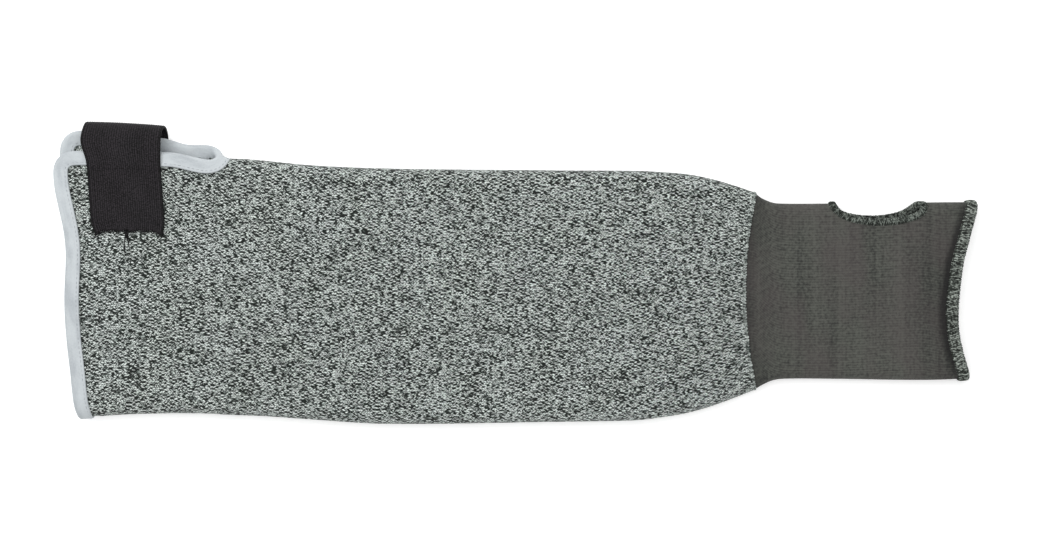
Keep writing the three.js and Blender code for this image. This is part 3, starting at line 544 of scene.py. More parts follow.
# The last course of the body: the loops of pale yarn that the cuff's first course hangs from. They
# stand over the cuff as a row of small teeth.
def set_along_tree():
    """Copies of a small shape set along a line, their X along it and their Z up from the surface."""
    tree = bpy.data.node_groups.new("set_along", "GeometryNodeTree")
    tree.interface.new_socket("Line", in_out="INPUT", socket_type="NodeSocketGeometry")
    for name, kind, value in (
        ("Shape", "Object", None), ("Finish", "Material", None), ("Spacing", "Float", 0.001),
        ("Turn", "Float", 0.0), ("Turn Spread", "Float", 0.0), ("Tilt Spread", "Float", 0.0),
        ("Smallest", "Float", 1.0), ("Seed", "Int", 1),
    ):
        socket = tree.interface.new_socket(name, in_out="INPUT", socket_type="NodeSocket" + kind)
        if value is not None:
            socket.default_value = value
    tree.interface.new_socket("Copies", in_out="OUTPUT", socket_type="NodeSocketGeometry")

    def node(kind, sockets=(), **settings):
        made = tree.nodes.new(kind)
        for key, value in settings.items():
            setattr(made, key, value)
        for socket, value in dict(sockets).items():
            if isinstance(value, bpy.types.NodeSocket):
                tree.links.new(value, made.inputs[socket])
            else:
                made.inputs[socket].default_value = value
        return made.outputs

    given = node("NodeGroupInput")
    curve = node("GeometryNodeMeshToCurve", {0: given["Line"]})
    spaced = node("GeometryNodeResampleCurve", {"Curve": curve[0], "Length": given["Spacing"]}, mode="LENGTH")
    up = node("GeometryNodeInputNamedAttribute", {"Name": "up"}, data_type="FLOAT_VECTOR")
    tangent = node("GeometryNodeInputTangent")
    frame_turn = node("FunctionNodeAxesToRotation", {0: up[0], 1: tangent[0]},
                      primary_axis="Z", secondary_axis="X")

    def maths(operation, first, second):
        return node("ShaderNodeMath", {0: first, 1: second}, operation=operation)[0]

    def between(low, high, seed):
        return node("FunctionNodeRandomValue", {2: low, 3: high, "Seed": seed}, data_type="FLOAT")[1]

    def spread(amount, step):
        return between(maths("MULTIPLY", amount, -1.0), amount, maths("ADD", given["Seed"], step))

    about_up = maths("ADD", given["Turn"], spread(given["Turn Spread"], 11.0))
    own = node("ShaderNodeCombineXYZ", {0: 0.0, 1: spread(given["Tilt Spread"], 23.0), 2: about_up})
    own_turn = node("FunctionNodeEulerToRotation", {0: own[0]})
    turned = node("FunctionNodeRotateRotation", {0: frame_turn[0], 1: own_turn[0]}, rotation_space="LOCAL")
    size = between(given["Smallest"], 1.0, maths("ADD", given["Seed"], 37.0))
    shape = node("GeometryNodeObjectInfo", {0: given["Shape"]}, transform_space="ORIGINAL")
    copies = node("GeometryNodeInstanceOnPoints", {
        "Points": spaced[0], "Instance": shape["Geometry"], "Rotation": turned[0], "Scale": size})
    toned = node("GeometryNodeStoreNamedAttribute",
                 {"Geometry": copies[0], "Name": "tone", "Value": between(0.0, 1.0, 71)},
                 data_type="FLOAT", domain="INSTANCE")
    real = node("GeometryNodeRealizeInstances", {0: toned[0]})
    finished = node("GeometryNodeSetMaterial", {"Geometry": real[0], "Material": given["Finish"]})
    node("NodeGroupOutput", {0: finished[0]})
    return tree


set_along = set_along_tree()


LOWEST, SOFTNESS = 0.04, 0.1


def rested(heights):
    """Heights above the table, where what would reach under it is pressed thin instead."""
    return LOWEST + SOFTNESS * np.logaddexp(0, (heights - LOWEST) / SOFTNESS)


def copies_along(name, lines, shape, finish, spacing, **choices):
    """A plain mesh of copies of shape, a (positions, faces, uvs) in millimetres, along lines, each of
    (points, up, closed)."""
    small = bpy.data.meshes.new("small_shape")
    small.from_pydata((np.asarray(shape[0]) * MM).tolist(), [], shape[1])
    small.uv_layers.new(name="UVMap").data.foreach_set("uv", np.asarray(shape[2], dtype=np.float32).ravel())
    small.polygons.foreach_set("use_smooth", [True] * len(small.polygons))
    pattern = bpy.data.objects.new("small_shape", small)
    scene.collection.objects.link(pattern)
    points, ups, edges = [], [], []
    for line, up, closed in lines:
        first, count = len(points), len(line)
        points += (np.asarray(line) * MM + place_shift).tolist()
        ups += np.asarray(up).tolist()
        edges += [(first + i, first + (i + 1) % count) for i in range(count if closed else count - 1)]
    path = bpy.data.meshes.new(name)
    path.from_pydata(points, edges, [])
    path.attributes.new("up", "FLOAT_VECTOR", "POINT").data.foreach_set(
        "vector", np.asarray(ups, dtype=np.float32).ravel())
    piece = bpy.data.objects.new(name, path)
    scene.collection.objects.link(piece)
    nodes = piece.modifiers.new("set_along", "NODES")
    nodes.node_group = set_along
    values = {"Shape": pattern, "Finish": finish.material, "Spacing": spacing * MM}
    values.update({choice.replace("_", " ").title(): value for choice, value in choices.items()})
    for item in set_along.interface.items_tree:
        if item.in_out == "INPUT" and item.name in values:
            nodes[item.identifier] = values[item.name]
    bpy.context.view_layer.update()
    made = bpy.data.meshes.new_from_object(piece.evaluated_get(bpy.context.evaluated_depsgraph_get()))
    piece.modifiers.remove(nodes)
    piece.data = made
    made.name = name
    places = np.empty(len(made.vertices) * 3)
    made.vertices.foreach_get("co", places)
    places[2::3] = rested(places[2::3] / MM) * MM
    made.vertices.foreach_set("co", places)
    bpy.data.meshes.remove(path)
    bpy.data.objects.remove(pattern)
    bpy.data.meshes.remove(small)
    return piece


def bent_rod(centres, across, radii, sides=5, closed=False):
    """A thread through centres, thick by radii. across is the direction that it doesn't bend in."""
    centres, across = np.asarray(centres, float), np.asarray(across, float)
    count = len(centres)
    ahead, behind = np.roll(centres, -1, 0), np.roll(centres, 1, 0)
    if not closed:
        ahead[-1], behind[0] = centres[-1], centres[0]
    along = ahead - behind
    along /= np.linalg.norm(along, axis=1, keepdims=True)
    other = np.cross(along, across)
    other /= np.linalg.norm(other, axis=1, keepdims=True)
    third = np.cross(other, along)
    radii = np.broadcast_to(radii, count)
    angles = np.linspace(0, 2 * math.pi, sides + 1)[:-1]
    rings = [centres[i] + radii[i] * (np.cos(a) * other[i] + np.sin(a) * third[i])
             for i in range(count) for a in angles]
    faces, uvs = [], []
    for i in range(count if closed else count - 1):
        for k in range(sides):
            i2, k2 = (i + 1) % count, (k + 1) % sides
            faces.append([i * sides + k, i2 * sides + k, i2 * sides + k2, i * sides + k2])
            uvs += [(i, k / sides), (i + 1, k / sides), (i + 1, (k + 1) / sides), (i, (k + 1) / sides)]
    if not closed:
        for ends in (list(range(sides)), [(count - 1) * sides + k for k in range(sides)][::-1]):
            faces.append(ends)
            uvs += [(0.5, 0.5)] * sides
    return np.array(rings), faces, uvs


def thread_finish(name, dark, light, twist=0.0, fleck=0.35):
    """Spun thread with lighter flecks, each copy of its own tone."""
    finish = Finish(name, Roughness=0.85, Specular_IOR_Level=0.25)
    tone = finish.node("Attribute", out=2, attribute_name="tone")
    place = finish.node("TexCoord", out=3)
    speck = finish.node("TexNoise", {"Vector": place, "Scale": 900.0, "Detail": 2.0})
    run, round_, _ = finish.split(finish.node("UVMap", uv_map="UVMap"))
    ply = ((run * twist + round_).part() * 2 - 1).size()
    mix = (tone - 0.5) * 0.7 + (speck - 0.5) * 2.2 + fleck + (ply - 0.5) * 0.3
    finish.feed("Base Color", finish.blend(mix.rise(0.0, 1.0), dark, light))
    finish.bump(ply, 0.00012, 0.5)
    return finish


pale_thread = thread_finish("pale_loop_yarn", srgb(60, 68, 64), srgb(205, 213, 208), 0.4, 0.5)
angles = np.linspace(-0.5, 0.5, 7) * math.pi * 1.15
tooth = [(0.42 * math.sin(a), -0.5 * math.cos(a) + 0.15, 0.1 * math.cos(a)) for a in angles]
tooth = [(-0.2, 1.9, -0.25), (-0.42, 1.1, 0.1)] + tooth + [(0.42, 1.1, 0.1), (0.2, 1.9, -0.25)]
seam_line = body_points[-1] + body_normals[-1] * (BODY_WALL / 2 - 0.02)
seam_side = np.sign(np.cross(body_normals[-1][3], seam_line[4] - seam_line[3])[0])
tooth = np.array(tooth) * (1, -seam_side, 1)
loops_shape = bent_rod(tooth, (0, 0, 1), [0.16, 0.3, 0.34, 0.34, 0.33, 0.33, 0.33, 0.34, 0.34, 0.3, 0.16])
seam_loops = copies_along(
    "seam_loops", [(seam_line[:-1], body_normals[-1][:-1], True)], loops_shape, pale_thread, spacing=1.4,
    turn_spread=0.7, tilt_spread=0.3, smallest=0.5, seed=4)
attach(seam_loops, "root")


# The cuff: a finer, closer knit in dark grey-green yarn, 1.5 mm thick, over wrist and palm. It is
# knitted on to the body, and the thumb hole is cut across its near fold.
CUFF_LENGTH, CUFF_WIDTH, CUFF_HEIGHT, CUFF_WALL, CUFF_FOLD_DEPTH = 114, 87, 13, 1.5, 5.5
PALM_RISE, PALM_BOW = 3, 10
THUMB_LENGTH, THUMB_DEPTH, THUMB_FROM_PALM = 45, 8, 47
LOWER_THUMB_LENGTH, LOWER_THUMB_DEPTH = 38.5, 6.2
HEM_GAP, HEM_NOSE, PALM_HEM_WIDTH, PALM_HEM_HEIGHT = 0.25, 1.2, 6.3, 4.4
THUMB_HEM_NOSE, THUMB_HEM_WIDTH, THUMB_HEM_HEIGHT = 1, 3.9, 3.8
CUFF_HALF = (CUFF_WIDTH - CUFF_WALL) / 2
THUMB_X = CUFF_LENGTH - THUMB_FROM_PALM
SEAM_GAP = 0.12

# along, low edge, high edge, height, gape of the palm end
CUFF_SECTIONS = np.array([
    (0, 1.08, 1.08, 1, 0), (0.046, 0.98, 0.97, 0.85, 0), (0.072, 0.66, 0.56, 0.65, 0),
    (0.124, 0.16, 0.1, 0.3, 0), (0.18, 0, 0, 0.1, 0), (0.36, 0, 0, 0, 0.05), (0.72, 0.11, 0.08, 0, 0.45),
    (0.88, 0.06, 0.12, 0, 0.8), (1, -0.12, 0.12, 0, 1)])
PALM_EDGE = np.array([
    (0, 0.37), (0.06, 0.52), (0.13, 0.7), (0.22, 0.88), (0.33, 1), (0.45, 0.98), (0.58, 0.84), (0.66, 0.74),
    (0.75, 0.54), (0.87, 0.26), (0.96, 0.04), (1, 0)])
CUFF_DENTS = [
    (0.14, 0.1, 0.3, 0.16, 0.1), (0.48, 0.12, -0.28, 0.14, 0.08), (0.86, 0.045, -0.1, 0.34, 0.16),
    (0.3, 0.05, 0.05, 0.3, 0.03), (0.62, 0.04, 0.2, 0.2, 0.03)]


def cuff_shape(x):
    share = x / CUFF_LENGTH
    low = -(CUFF_HALF + (SEAM_HALF - CUFF_HALF) * through(CUFF_SECTIONS, 1, share))
    high = CUFF_HALF + (SEAM_HALF - CUFF_HALF) * through(CUFF_SECTIONS, 2, share)
    height = CUFF_HEIGHT + (SEAM_HEIGHT - CUFF_HEIGHT) * through(CUFF_SECTIONS, 3, share)
    height = height + PALM_RISE * through(CUFF_SECTIONS, 4, share) - CUFF_WALL
    middle, half = (low + high) / 2, (high - low) / 2 - CUFF_FOLD_DEPTH

    def top(y):
        u = np.clip((y - middle) / half, -1, 1)
        crown = (FLANK_SHARE + (1 - FLANK_SHARE) * (1 - u * u)) * height
        return CUFF_WALL / 2 + crown - dents_at(CUFF_DENTS, share, y / CUFF_WIDTH, CUFF_HEIGHT)

    def bottom(y):
        beside = np.maximum(np.abs(x - THUMB_X) - THUMB_LENGTH / 2, 0)
        under = np.maximum(high - y - THUMB_DEPTH, 0)
        palm = near(CUFF_LENGTH - PALM_BOW - x, PALM_HEM_WIDTH) * (PALM_HEM_HEIGHT + 0.2 - CUFF_WALL)
        thumb = near(np.hypot(beside, under), THUMB_HEM_WIDTH + 2) * (THUMB_HEM_HEIGHT + 0.6 - CUFF_WALL)
        return CUFF_WALL / 2 + np.maximum(palm, thumb) / 2

    return low, high, high, CUFF_FOLD_DEPTH, math.pi / 2, top, bottom


def cuff_shift(station, across):
    bow = SEAM_BOW * (2 * across - 1) ** 2 + SEAM_GAP
    lower = np.where(np.arange(len(across)) < LAYER_ROWS, 1 - across * (1 - across), 1)
    palm = -PALM_BOW * through(PALM_EDGE, 1, across) * lower
    return bow * (1 - ease(station / 30, 0, 1)) + palm * (1 - ease((CUFF_LENGTH - station) / 30, 0, 1))


cuff_stations = np.linspace(0, CUFF_LENGTH, 96)
cuff_points, cuff_round = tube_points(
    cuff_stations, cuff_shape, cuff_shift, np.arange(-2, CUFF_LENGTH + 3, 0.5))
cuff_normals = surface_normals(cuff_points, 0)
CUFF_WALE, CUFF_COURSE = 0.8, 0.7
cuff_uv = np.stack([cuff_points[:, :, 0] / CUFF_COURSE, cuff_round / CUFF_WALE], axis=2)
from_palm = cuff_points[-1, :, 0] - cuff_points[:, :, 0]
cuff_place = np.stack([cuff_points[:, :, 0] - cuff_points[0, :, 0], from_palm], axis=2)

SOOT, FADED, WARM_YARN, DIP_SHADE = srgb(43, 44, 43), srgb(93, 95, 89), srgb(84, 77, 77), srgb(30, 30, 30)


def rib_knit(name, inside):
    """Fine rib in dark yarn: close lines of stitches along the sleeve, in lighter and darker bands across
    the sleeve. Painted shade darkens each stitch off its crown, the crease where it bends down before
    the hem, and the cuff towards the seam."""
    finish = Finish(name, Roughness=0.92, Specular_IOR_Level=0.2, Sheen_Weight=0.05)
    course, wale, _ = finish.split(finish.node("UVMap", uv_map="UVMap"))
    from_seam, to_palm, _ = finish.split(finish.node("UVMap", uv_map="PlaceMap"))
    in_wale = (wale.part() - 0.5).size() * 2
    in_course = ((course + in_wale * 0.5).part() - 0.5).size() * 2
    stitch = (1 - in_wale ** 2) * (1 - in_course ** 3 * 0.6)
    if inside:
        stitch = (1 - in_course ** 2) * (1 - in_wale ** 3 * 0.6)
    bands = finish.noise(course * 0.17, wale * 0.004, 4.0, 0.65)
    lines = finish.noise(course * 0.03, wale * 0.6, 2.0)
    fleck = finish.noise(course * 0.5, wale * 0.5, 3.0)
    warm, patch, _ = finish.split(finish.noise(course * 0.03, wale * 0.02, 2.0, out=1))
    # The stitch term is painted shade: each stitch is lighter on its crown and darker off it.
    light = (bands - 0.5) * 1.5 + (lines - 0.5) * 0.6 + (fleck - 0.5) * 2.3 + (stitch - 0.5) * 1.1
    light = light + (patch - 0.5) * 0.6 + 0.52
    middle = (1 - (wale.size() / 58 - 1) ** 4).maths("MAXIMUM", 0.0)
    # Painted shade: darkest in the crease just before the hem and away from the folds, fading over 30 mm, and
    # a little darker near the seam.
    painted_dip_shade = (1 - to_palm.rise(4.0, 10.0)) * middle * 1.4 + (1 - to_palm.rise(8.0, 30.0)) * 0.2
    painted_dip_shade = painted_dip_shade + (1 - from_seam.rise(0.0, 8.0)) * 0.3 + (1 - from_seam.rise(4.0, 34.0)) * 0.09
    colour = finish.blend((light - painted_dip_shade * 0.5).rise(-0.4, 1.25), SOOT, FADED)
    colour = finish.blend(warm.rise(0.35, 0.65) * 0.45, colour, WARM_YARN)
    colour = finish.blend(painted_dip_shade.maths("MINIMUM", 1.0) * 0.75, colour, DIP_SHADE)
    finish.feed("Base Color", colour)
    finish.bump(stitch, 0.00022, 0.6)
    return finish


rib = rib_knit("rib_knit", inside=False)
rib_inside = rib_knit("rib_knit_inside", inside=True)
cuff = cloth("cuff_knit", cuff_points, cuff_normals, 0, np.full(cuff_points.shape[:2], float(CUFF_WALL)),
             {"UVMap": cuff_uv, "PlaceMap": cuff_place}, [rib, rib_inside])

fold_y = cuff_shape(THUMB_X)[1]
FOLD_MIDDLE, FOLD_RISE = CUFF_HEIGHT / 2 + 0.3, CUFF_HEIGHT / 2 - 0.8


def thumb_hole_at(lowness, a):
    """The hole's outline, a from its deepest point. It narrows from the upper layer, where lowness is 0,
    to the lower one, where it is 1, and both have the same end towards the arm."""
    half = (THUMB_LENGTH + (LOWER_THUMB_LENGTH - THUMB_LENGTH) * lowness) / 2
    depth = THUMB_DEPTH + (LOWER_THUMB_DEPTH - THUMB_DEPTH) * lowness
    return THUMB_X - THUMB_LENGTH / 2 + half * (1 + math.sin(a)), fold_y - depth * math.cos(a)


levels = np.concatenate([[-CUFF_HEIGHT], FOLD_MIDDLE + FOLD_RISE * np.linspace(-1, 1, 13), [3 * CUFF_HEIGHT]])
post, sides = [], 96
for level in levels:
    lowness = 0.5 - 0.5 * min(max((level - FOLD_MIDDLE) / FOLD_RISE, -1), 1)
    post += [(*thumb_hole_at(lowness, a), level) for a in np.linspace(0, 2 * math.pi, sides + 1)[:-1]]
walls = [[r * sides + k, r * sides + (k + 1) % sides, (r + 1) * sides + (k + 1) % sides, (r + 1) * sides + k]
         for r in range(len(levels) - 1) for k in range(sides)]
ends = [list(range(sides))[::-1], [(len(levels) - 1) * sides + k for k in range(sides)]]
cutter = mesh_of("thumb_cutter", post, walls + ends, {}, [rib])
cut = cuff.modifiers.new("thumb_hole", "BOOLEAN")
cut.operation = "DIFFERENCE"
cut.solver = "EXACT"
cut.object = cutter
bpy.context.view_layer.objects.active = cuff
bpy.ops.object.modifier_apply(modifier=cut.name)
bpy.data.objects.remove(cutter)
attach(cuff, "root")
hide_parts("wrist_cuff")


# The binding: a pale blue-grey knitted tape, folded in half over the cut edge of the arm end and of
# both lips of the split, in one run, and sewn through with fine thread near its inner edge.
def even_loop(points, normals, outward, spacing):
    """A closed loop resampled evenly, with its frames: the way into the cloth and up from it."""
    def closed(a):
        return np.concatenate([a, a[:1]])
    run = np.concatenate([[0], np.cumsum(np.linalg.norm(np.diff(closed(points), axis=0), axis=1))])
    at = np.linspace(0, run[-1], int(run[-1] / spacing) + 1)[:-1]
    points, normals, outward = (
        np.stack([np.interp(at, run, closed(a)[:, k]) for k in range(3)], axis=1)
        for a in (points, normals, outward))
    for _ in range(3):
        points = (np.roll(points, 1, 0) + 2 * points + np.roll(points, -1, 0)) / 4
    for _ in range(6):
        normals = (np.roll(normals, 1, 0) + 2 * normals + np.roll(normals, -1, 0)) / 4
        outward = (np.roll(outward, 1, 0) + 2 * outward + np.roll(outward, -1, 0)) / 4
    along = np.roll(points, -1, 0) - np.roll(points, 1, 0)
    into = np.cross(along, normals)
    into /= np.linalg.norm(into, axis=1, keepdims=True)
    into *= np.where((into * outward).sum(1) > 0, -1, 1)[:, None]
    up = normals - into * (normals * into).sum(1, keepdims=True)
    up /= np.linalg.norm(up, axis=1, keepdims=True)
    return points, into, up, at


def swept(name, loop, profile, finish, swell=None):
    """A closed profile of (in, up) points swept round a closed loop. swell gives each of the loop's
    places its own height."""
    points, into, up, at = loop
    count, size = len(points), len(profile)
    swell = np.ones(count) if swell is None else swell
    positions = np.concatenate([
        points[i] + profile[:, :1] * into[i] + profile[:, 1:] * swell[i] * up[i] for i in range(count)])
    positions[:, 2] = rested(positions[:, 2])
    round_at = np.cumsum(np.linalg.norm(np.diff(profile, axis=0, prepend=profile[-1:]), axis=1))
    round_at = np.append(round_at - round_at[0], round_at[-1])
    stops = np.append(at, at[1] * count)
    handed = np.dot(np.cross(into[0], up[0]), points[1] - points[0]) > 0
    faces, uvs = [], []
    for i in range(count):
        for k in range(size):
            i2, k2 = (i + 1) % count, (k + 1) % size
            corners = [i * size + k, i2 * size + k, i2 * size + k2, i * size + k2]
            uv = [(stops[i], round_at[k]), (stops[i + 1], round_at[k]),
                  (stops[i + 1], round_at[k + 1]), (stops[i], round_at[k + 1])]
            faces.append(corners[::-1] if handed else corners)
            uvs += uv[::-1] if handed else uv
    return mesh_of(name, positions, faces, {"UVMap": uvs}, [finish])


def folded_profile(nose, reach, slot, outer, round_):
    """Cloth or thread folded over an edge, as (in, up) points: outside first, then the slot that
    holds the edge."""
    arc = np.linspace(math.pi / 2, -math.pi / 2, 13)
    upper = [(reach + 0.02, slot + (outer - slot) * 0.45), (reach - 0.12, slot + (outer - slot) * 0.82)]
    upper += [(reach - round_, outer - 0.03), (reach - 1.6 * round_, outer)]
    upper += [(s, outer) for s in np.linspace(reach - 2 * round_, 0.9, 4)]
    bend = [(0.6 - (nose + 0.6) * math.cos(a), outer * math.sin(a)) for a in arc]
    hollow = [(0.25 - 0.5 * math.cos(a), slot * math.sin(a)) for a in arc[::-2]]
    lower = [(s, -h) for s, h in upper[::-1]]
    return np.array(upper + bend + lower + [(reach - 0.1, -slot), (reach / 2, -slot)] + hollow
                    + [(reach / 2, slot), (reach - 0.1, slot)])


tape = Finish("binding_tape", Roughness=0.7, Specular_IOR_Level=0.25, Sheen_Weight=0.1)
along, round_, _ = tape.split(tape.node("UVMap", uv_map="UVMap"))
rib_line = ((round_ / 0.55).part() * 2 - 1).size()
pick = (((along + round_ * 0.2) / 0.6).part() * 2 - 1).size()
fuzz = tape.noise(along * 1.1, round_ * 1.6, 3.0)
cloudy = tape.noise(along * 0.06, round_ * 0.2, 2.0)
grime = cloudy.rise(0.35, 0.7) * 0.7 + (fuzz - 0.5) * 0.9 + (rib_line - 0.5) * 0.16 + (pick - 0.5) * 0.12
tape.feed("Base Color", tape.blend(grime.rise(-0.3, 1.2), srgb(201, 207, 210), srgb(170, 176, 181)))
tape.bump(fuzz * 0.8 + rib_line * 0.3 + pick * 0.3, 0.00018, 0.5)

tape_loop = even_loop(*arm_loop, spacing=1.2)
turns = tape_loop[3] / tape_loop[3][1] / len(tape_loop[3]) * 2 * math.pi
pucker = 1 + 0.035 * np.sin(turns * 29) + 0.03 * np.sin(turns * 53 + 1) + 0.02 * np.sin(turns * 97 + 2)
binding = swept("binding_tape", tape_loop, folded_profile(
    TAPE_NOSE, TAPE_REACH, BOUND_WALL / 2 + TAPE_GAP, TAPE_HALF, 0.5), tape, pucker)
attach(binding, "root")
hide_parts("edge_binding")

tape_thread = thread_finish("tape_thread", srgb(152, 158, 162), srgb(196, 201, 204), 0.5, 0.5)
stitch_shape = bent_rod(
    [(-0.8, 0, -0.16), (-0.6, 0, 0.0), (-0.2, 0, 0.07), (0.2, 0, 0.07), (0.6, 0, 0.0), (0.8, 0, -0.16)],
    (0, 1, 0), [0.07, 0.12, 0.14, 0.14, 0.12, 0.07])
STITCH_INSET = 1.3
points, into, up, _ = tape_loop
stitch_line = points + into * (TAPE_REACH - STITCH_INSET)
rows = [(stitch_line + up * side * TAPE_HALF * pucker[:, None], up * side, True) for side in (1, -1)]
tape_stitches = copies_along("tape_stitches", rows, stitch_shape, tape_thread, spacing=2.3,
                             turn_spread=0.08, smallest=0.9, seed=9)
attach(tape_stitches, "root")


# The hems: the palm end of the cuff and the rim of the thumb hole are rolled over and overlocked with
# fine flecked grey-green thread, one slanting turn beside the other, so that they look like a rope.
hem_core = Finish("hem_core", Base_Color=srgb(46, 50, 46), Roughness=0.95, Specular_IOR_Level=0.15)
hem_thread = thread_finish("hem_thread", srgb(38, 42, 38), srgb(184, 192, 184), 0.33, 0.38)
# Painted shade: the thumb hole's rim takes the palm hem's thread made darker.
shaded_thumb_thread = thread_finish("shaded_thumb_thread", srgb(34, 38, 34), srgb(152, 160, 152), 0.33, 0.34)


def overlocked(name, loop, nose, width, height, thread, closer, node):
    """A rolled hem round one loop: its core, and two layers of fine thread wound over it, slanting
    against each other. Where closer is under 1, the thread is finer and its turns are closer."""
    reach, half = width - nose, height / 2
    profile = folded_profile(nose - 0.35, reach - 0.5, CUFF_WALL / 2 + HEM_GAP, half - 0.4, 0.9)
    core = swept(name, loop, profile, hem_core)
    points, into, up, _ = loop
    side = np.sign(np.dot(np.cross(up[0], points[1] - points[0]), into[0]))
    turn_at = np.linspace(0, 2 * math.pi, 19)[:-1]
    middle, wide = (reach - nose) / 2, (reach + nose) / 2
    wound = [core]
    for layer, (slant, spacing, inset) in enumerate(((1.0, 0.62, 0.26), (-0.7, 0.95, 0.12))):
        ring = []
        for a in turn_at:
            c = math.copysign(abs(math.cos(a)) ** 0.55, math.cos(a))
            s = math.copysign(abs(math.sin(a)) ** 0.7, math.sin(a))
            ring.append((slant * c, side * (middle + (wide - inset) * c), (half - inset) * s))
        turn_shape = bent_rod(ring, (1, 0, 0), 0.22 * closer, sides=4, closed=True)
        wound.append(copies_along(
            f"{name}_thread_{layer + 1}", [(points, up, True)], turn_shape, thread, spacing * closer,
            turn_spread=0.16, tilt_spread=0.08, smallest=0.93, seed=12 + layer))
    for piece in wound:
        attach(piece, "root")
    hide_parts(node)


palm_last = cuff_points[-1][1:]
palm_loop = even_loop(palm_last, cuff_normals[-1][1:], palm_last - cuff_points[-2][1:], spacing=1.2)
overlocked("palm_hem", palm_loop, HEM_NOSE, PALM_HEM_WIDTH, PALM_HEM_HEIGHT, hem_thread, closer=1.0,
           node="cuff_hem")


def thumb_rim():
    """The cut edge of the thumb hole: over the upper layer, round the fold, back below, round again."""
    flat = fold_y - CUFF_FOLD_DEPTH
    points, normals = [], []
    for side, end in ((1, 1), (-1, -1)):
        reach = math.acos((fold_y - flat) / (THUMB_DEPTH if side > 0 else LOWER_THUMB_DEPTH))
        for a in np.linspace(-end * reach, end * reach, 25):
            x, y = thumb_hole_at(0 if side > 0 else 1, a)
            *_, top, bottom = cuff_shape(x)
            slope = float(top(y + 0.5) - top(y - 0.5)) if side > 0 else 0
            points.append((x, y, float(top(y) if side > 0 else bottom(y))))
            normals.append((0, -slope, side))
        *_, top, bottom = cuff_shape(THUMB_X + end * THUMB_LENGTH / 2)
        rise, centre = (top(flat) - bottom(flat)) / 2, (top(flat) + bottom(flat)) / 2
        for a in np.linspace(side * math.pi / 2, -side * math.pi / 2, 17)[1:-1]:
            y = flat + CUFF_FOLD_DEPTH * math.cos(a)
            lowness = 0.5 - 0.5 * math.sin(a)
            deep = THUMB_DEPTH + (LOWER_THUMB_DEPTH - THUMB_DEPTH) * lowness
            x, _ = thumb_hole_at(lowness, end * math.acos((fold_y - y) / deep))
            points.append((x, y, float(centre + rise * math.sin(a))))
            normals.append((0, math.cos(a) / CUFF_FOLD_DEPTH, math.sin(a) / float(rise)))
    points, normals = np.array(points), np.array(normals, dtype=float)
    normals /= np.linalg.norm(normals, axis=1, keepdims=True)
    outward = np.stack([THUMB_X - 1 - points[:, 0], 3 * (fold_y - points[:, 1]), 0 * points[:, 0]], axis=1)
    return points, normals, outward / np.linalg.norm(outward, axis=1, keepdims=True)


overlocked("thumb_hem", even_loop(*thumb_rim(), spacing=1.0), THUMB_HEM_NOSE, THUMB_HEM_WIDTH,
           THUMB_HEM_HEIGHT, shaded_thumb_thread, closer=0.8, node="thumb_hole_hem")


# The strap: black ribbed elastic, 38 mm wide, sewn to the upper layer with a square and a cross of
# stitches, looped over both lips of the split and sewn under the lower layer in the same way.
def strap_path(x):
    _, upper_lip, lower_lip, _, _, top, _ = body_shape(x)
    half = STRAP_CLOTH / 2

    def over(y):
        on_tape = 1 - ease(upper_lip - y, TAPE_REACH + 0.6, TAPE_REACH + 3)
        return float(top(y)) + BODY_WALL / 2 + (TAPE_HALF - BODY_WALL / 2) * on_tape + STRAP_GAP + half

    path = [(upper_lip - s, over(upper_lip - s)) for s in (STRAP_LAP, 32, 26, 20, 15, 11, 8.5, 6, 3, 0)]
    crest, out = over(upper_lip), lower_lip + STRAP_REACH - half
    path += [(upper_lip + (out - upper_lip) * 0.4, crest - 0.5),
             (upper_lip + (out - upper_lip) * 0.75, crest + (half - crest) * 0.17)]
    for back, fall in ((0.4, 0.38), (0, 0.58), (0.7, 0.78)):
        path.append((out - back, crest + (half - crest) * fall))
    path += [(out - 2.6, half + 1), (out - 5, half + 0.1)]
    path += [(lower_lip - s, half) for s in (1, 8, 16, 27, STRAP_LAP)]
    return np.array(path), lower_lip


STRAP_RIBS, RIB_COLUMNS, STRAP_ROWS = 34, 4, 100
STRAP_TWIST, CORNER_SAG, END_WAVE, END_RIPPLE, CREST_SLOPE = 0.9, 2.1, 0.35, 0.2, 1.5
NEVER_JOINED = 10 ** 6
columns = []
for across in np.linspace(-0.5, 0.5, STRAP_RIBS * RIB_COLUMNS + 1) * STRAP_WIDTH:
    path, lip = strap_path(strap_middle(0, 0) + across)
    run = np.concatenate([[0], np.cumsum(np.hypot(*np.diff(path, axis=0).T))])
    strap_run = np.linspace(0, run[-1], STRAP_ROWS)
    fine = np.stack([np.interp(strap_run, run, path[:, k]) for k in range(2)], axis=1)
    for _ in range(8):
        fine[1:-1] = (fine[:-2] + 2 * fine[1:-1] + fine[2:]) / 4
    x = strap_middle(fine[:, 0], lip) + across + STRAP_SKEW * ease(strap_run, run[9], run[16])
    drawn_in = ease(lip - fine[:, 0], 2, 16) * (1 - ease(strap_run, run[9], run[12]))
    x += (1 - ease(strap_run, run[9], run[16])) * (STRAP_TWIST + 0.05 * across)
    x += drawn_in * (1.1 - 0.09 * across)
    furthest = fine[:, 0].max()
    fine[:, 0] += CREST_SLOPE * (across / STRAP_WIDTH + 0.3) * ease(fine[:, 0], furthest - 12, furthest)
    x -= across / STRAP_WIDTH * (2.6 - 0.04 * across) * (1 - ease(strap_run, 0, 6))
    corner = np.abs(across) / (STRAP_WIDTH / 2)
    sag = CORNER_SAG * ease(corner, 0.72, 1)
    sag = sag + END_WAVE * math.sin(across * 0.9) + END_RIPPLE * math.sin(across * 2.3)
    for leg in (strap_run, strap_run[-1] - strap_run):
        fine[:, 0] -= sag * (1 - ease(leg, 0, 9))
    columns.append(np.stack([x, fine[:, 0], fine[:, 1]], axis=1))
strap_points = np.array(columns)
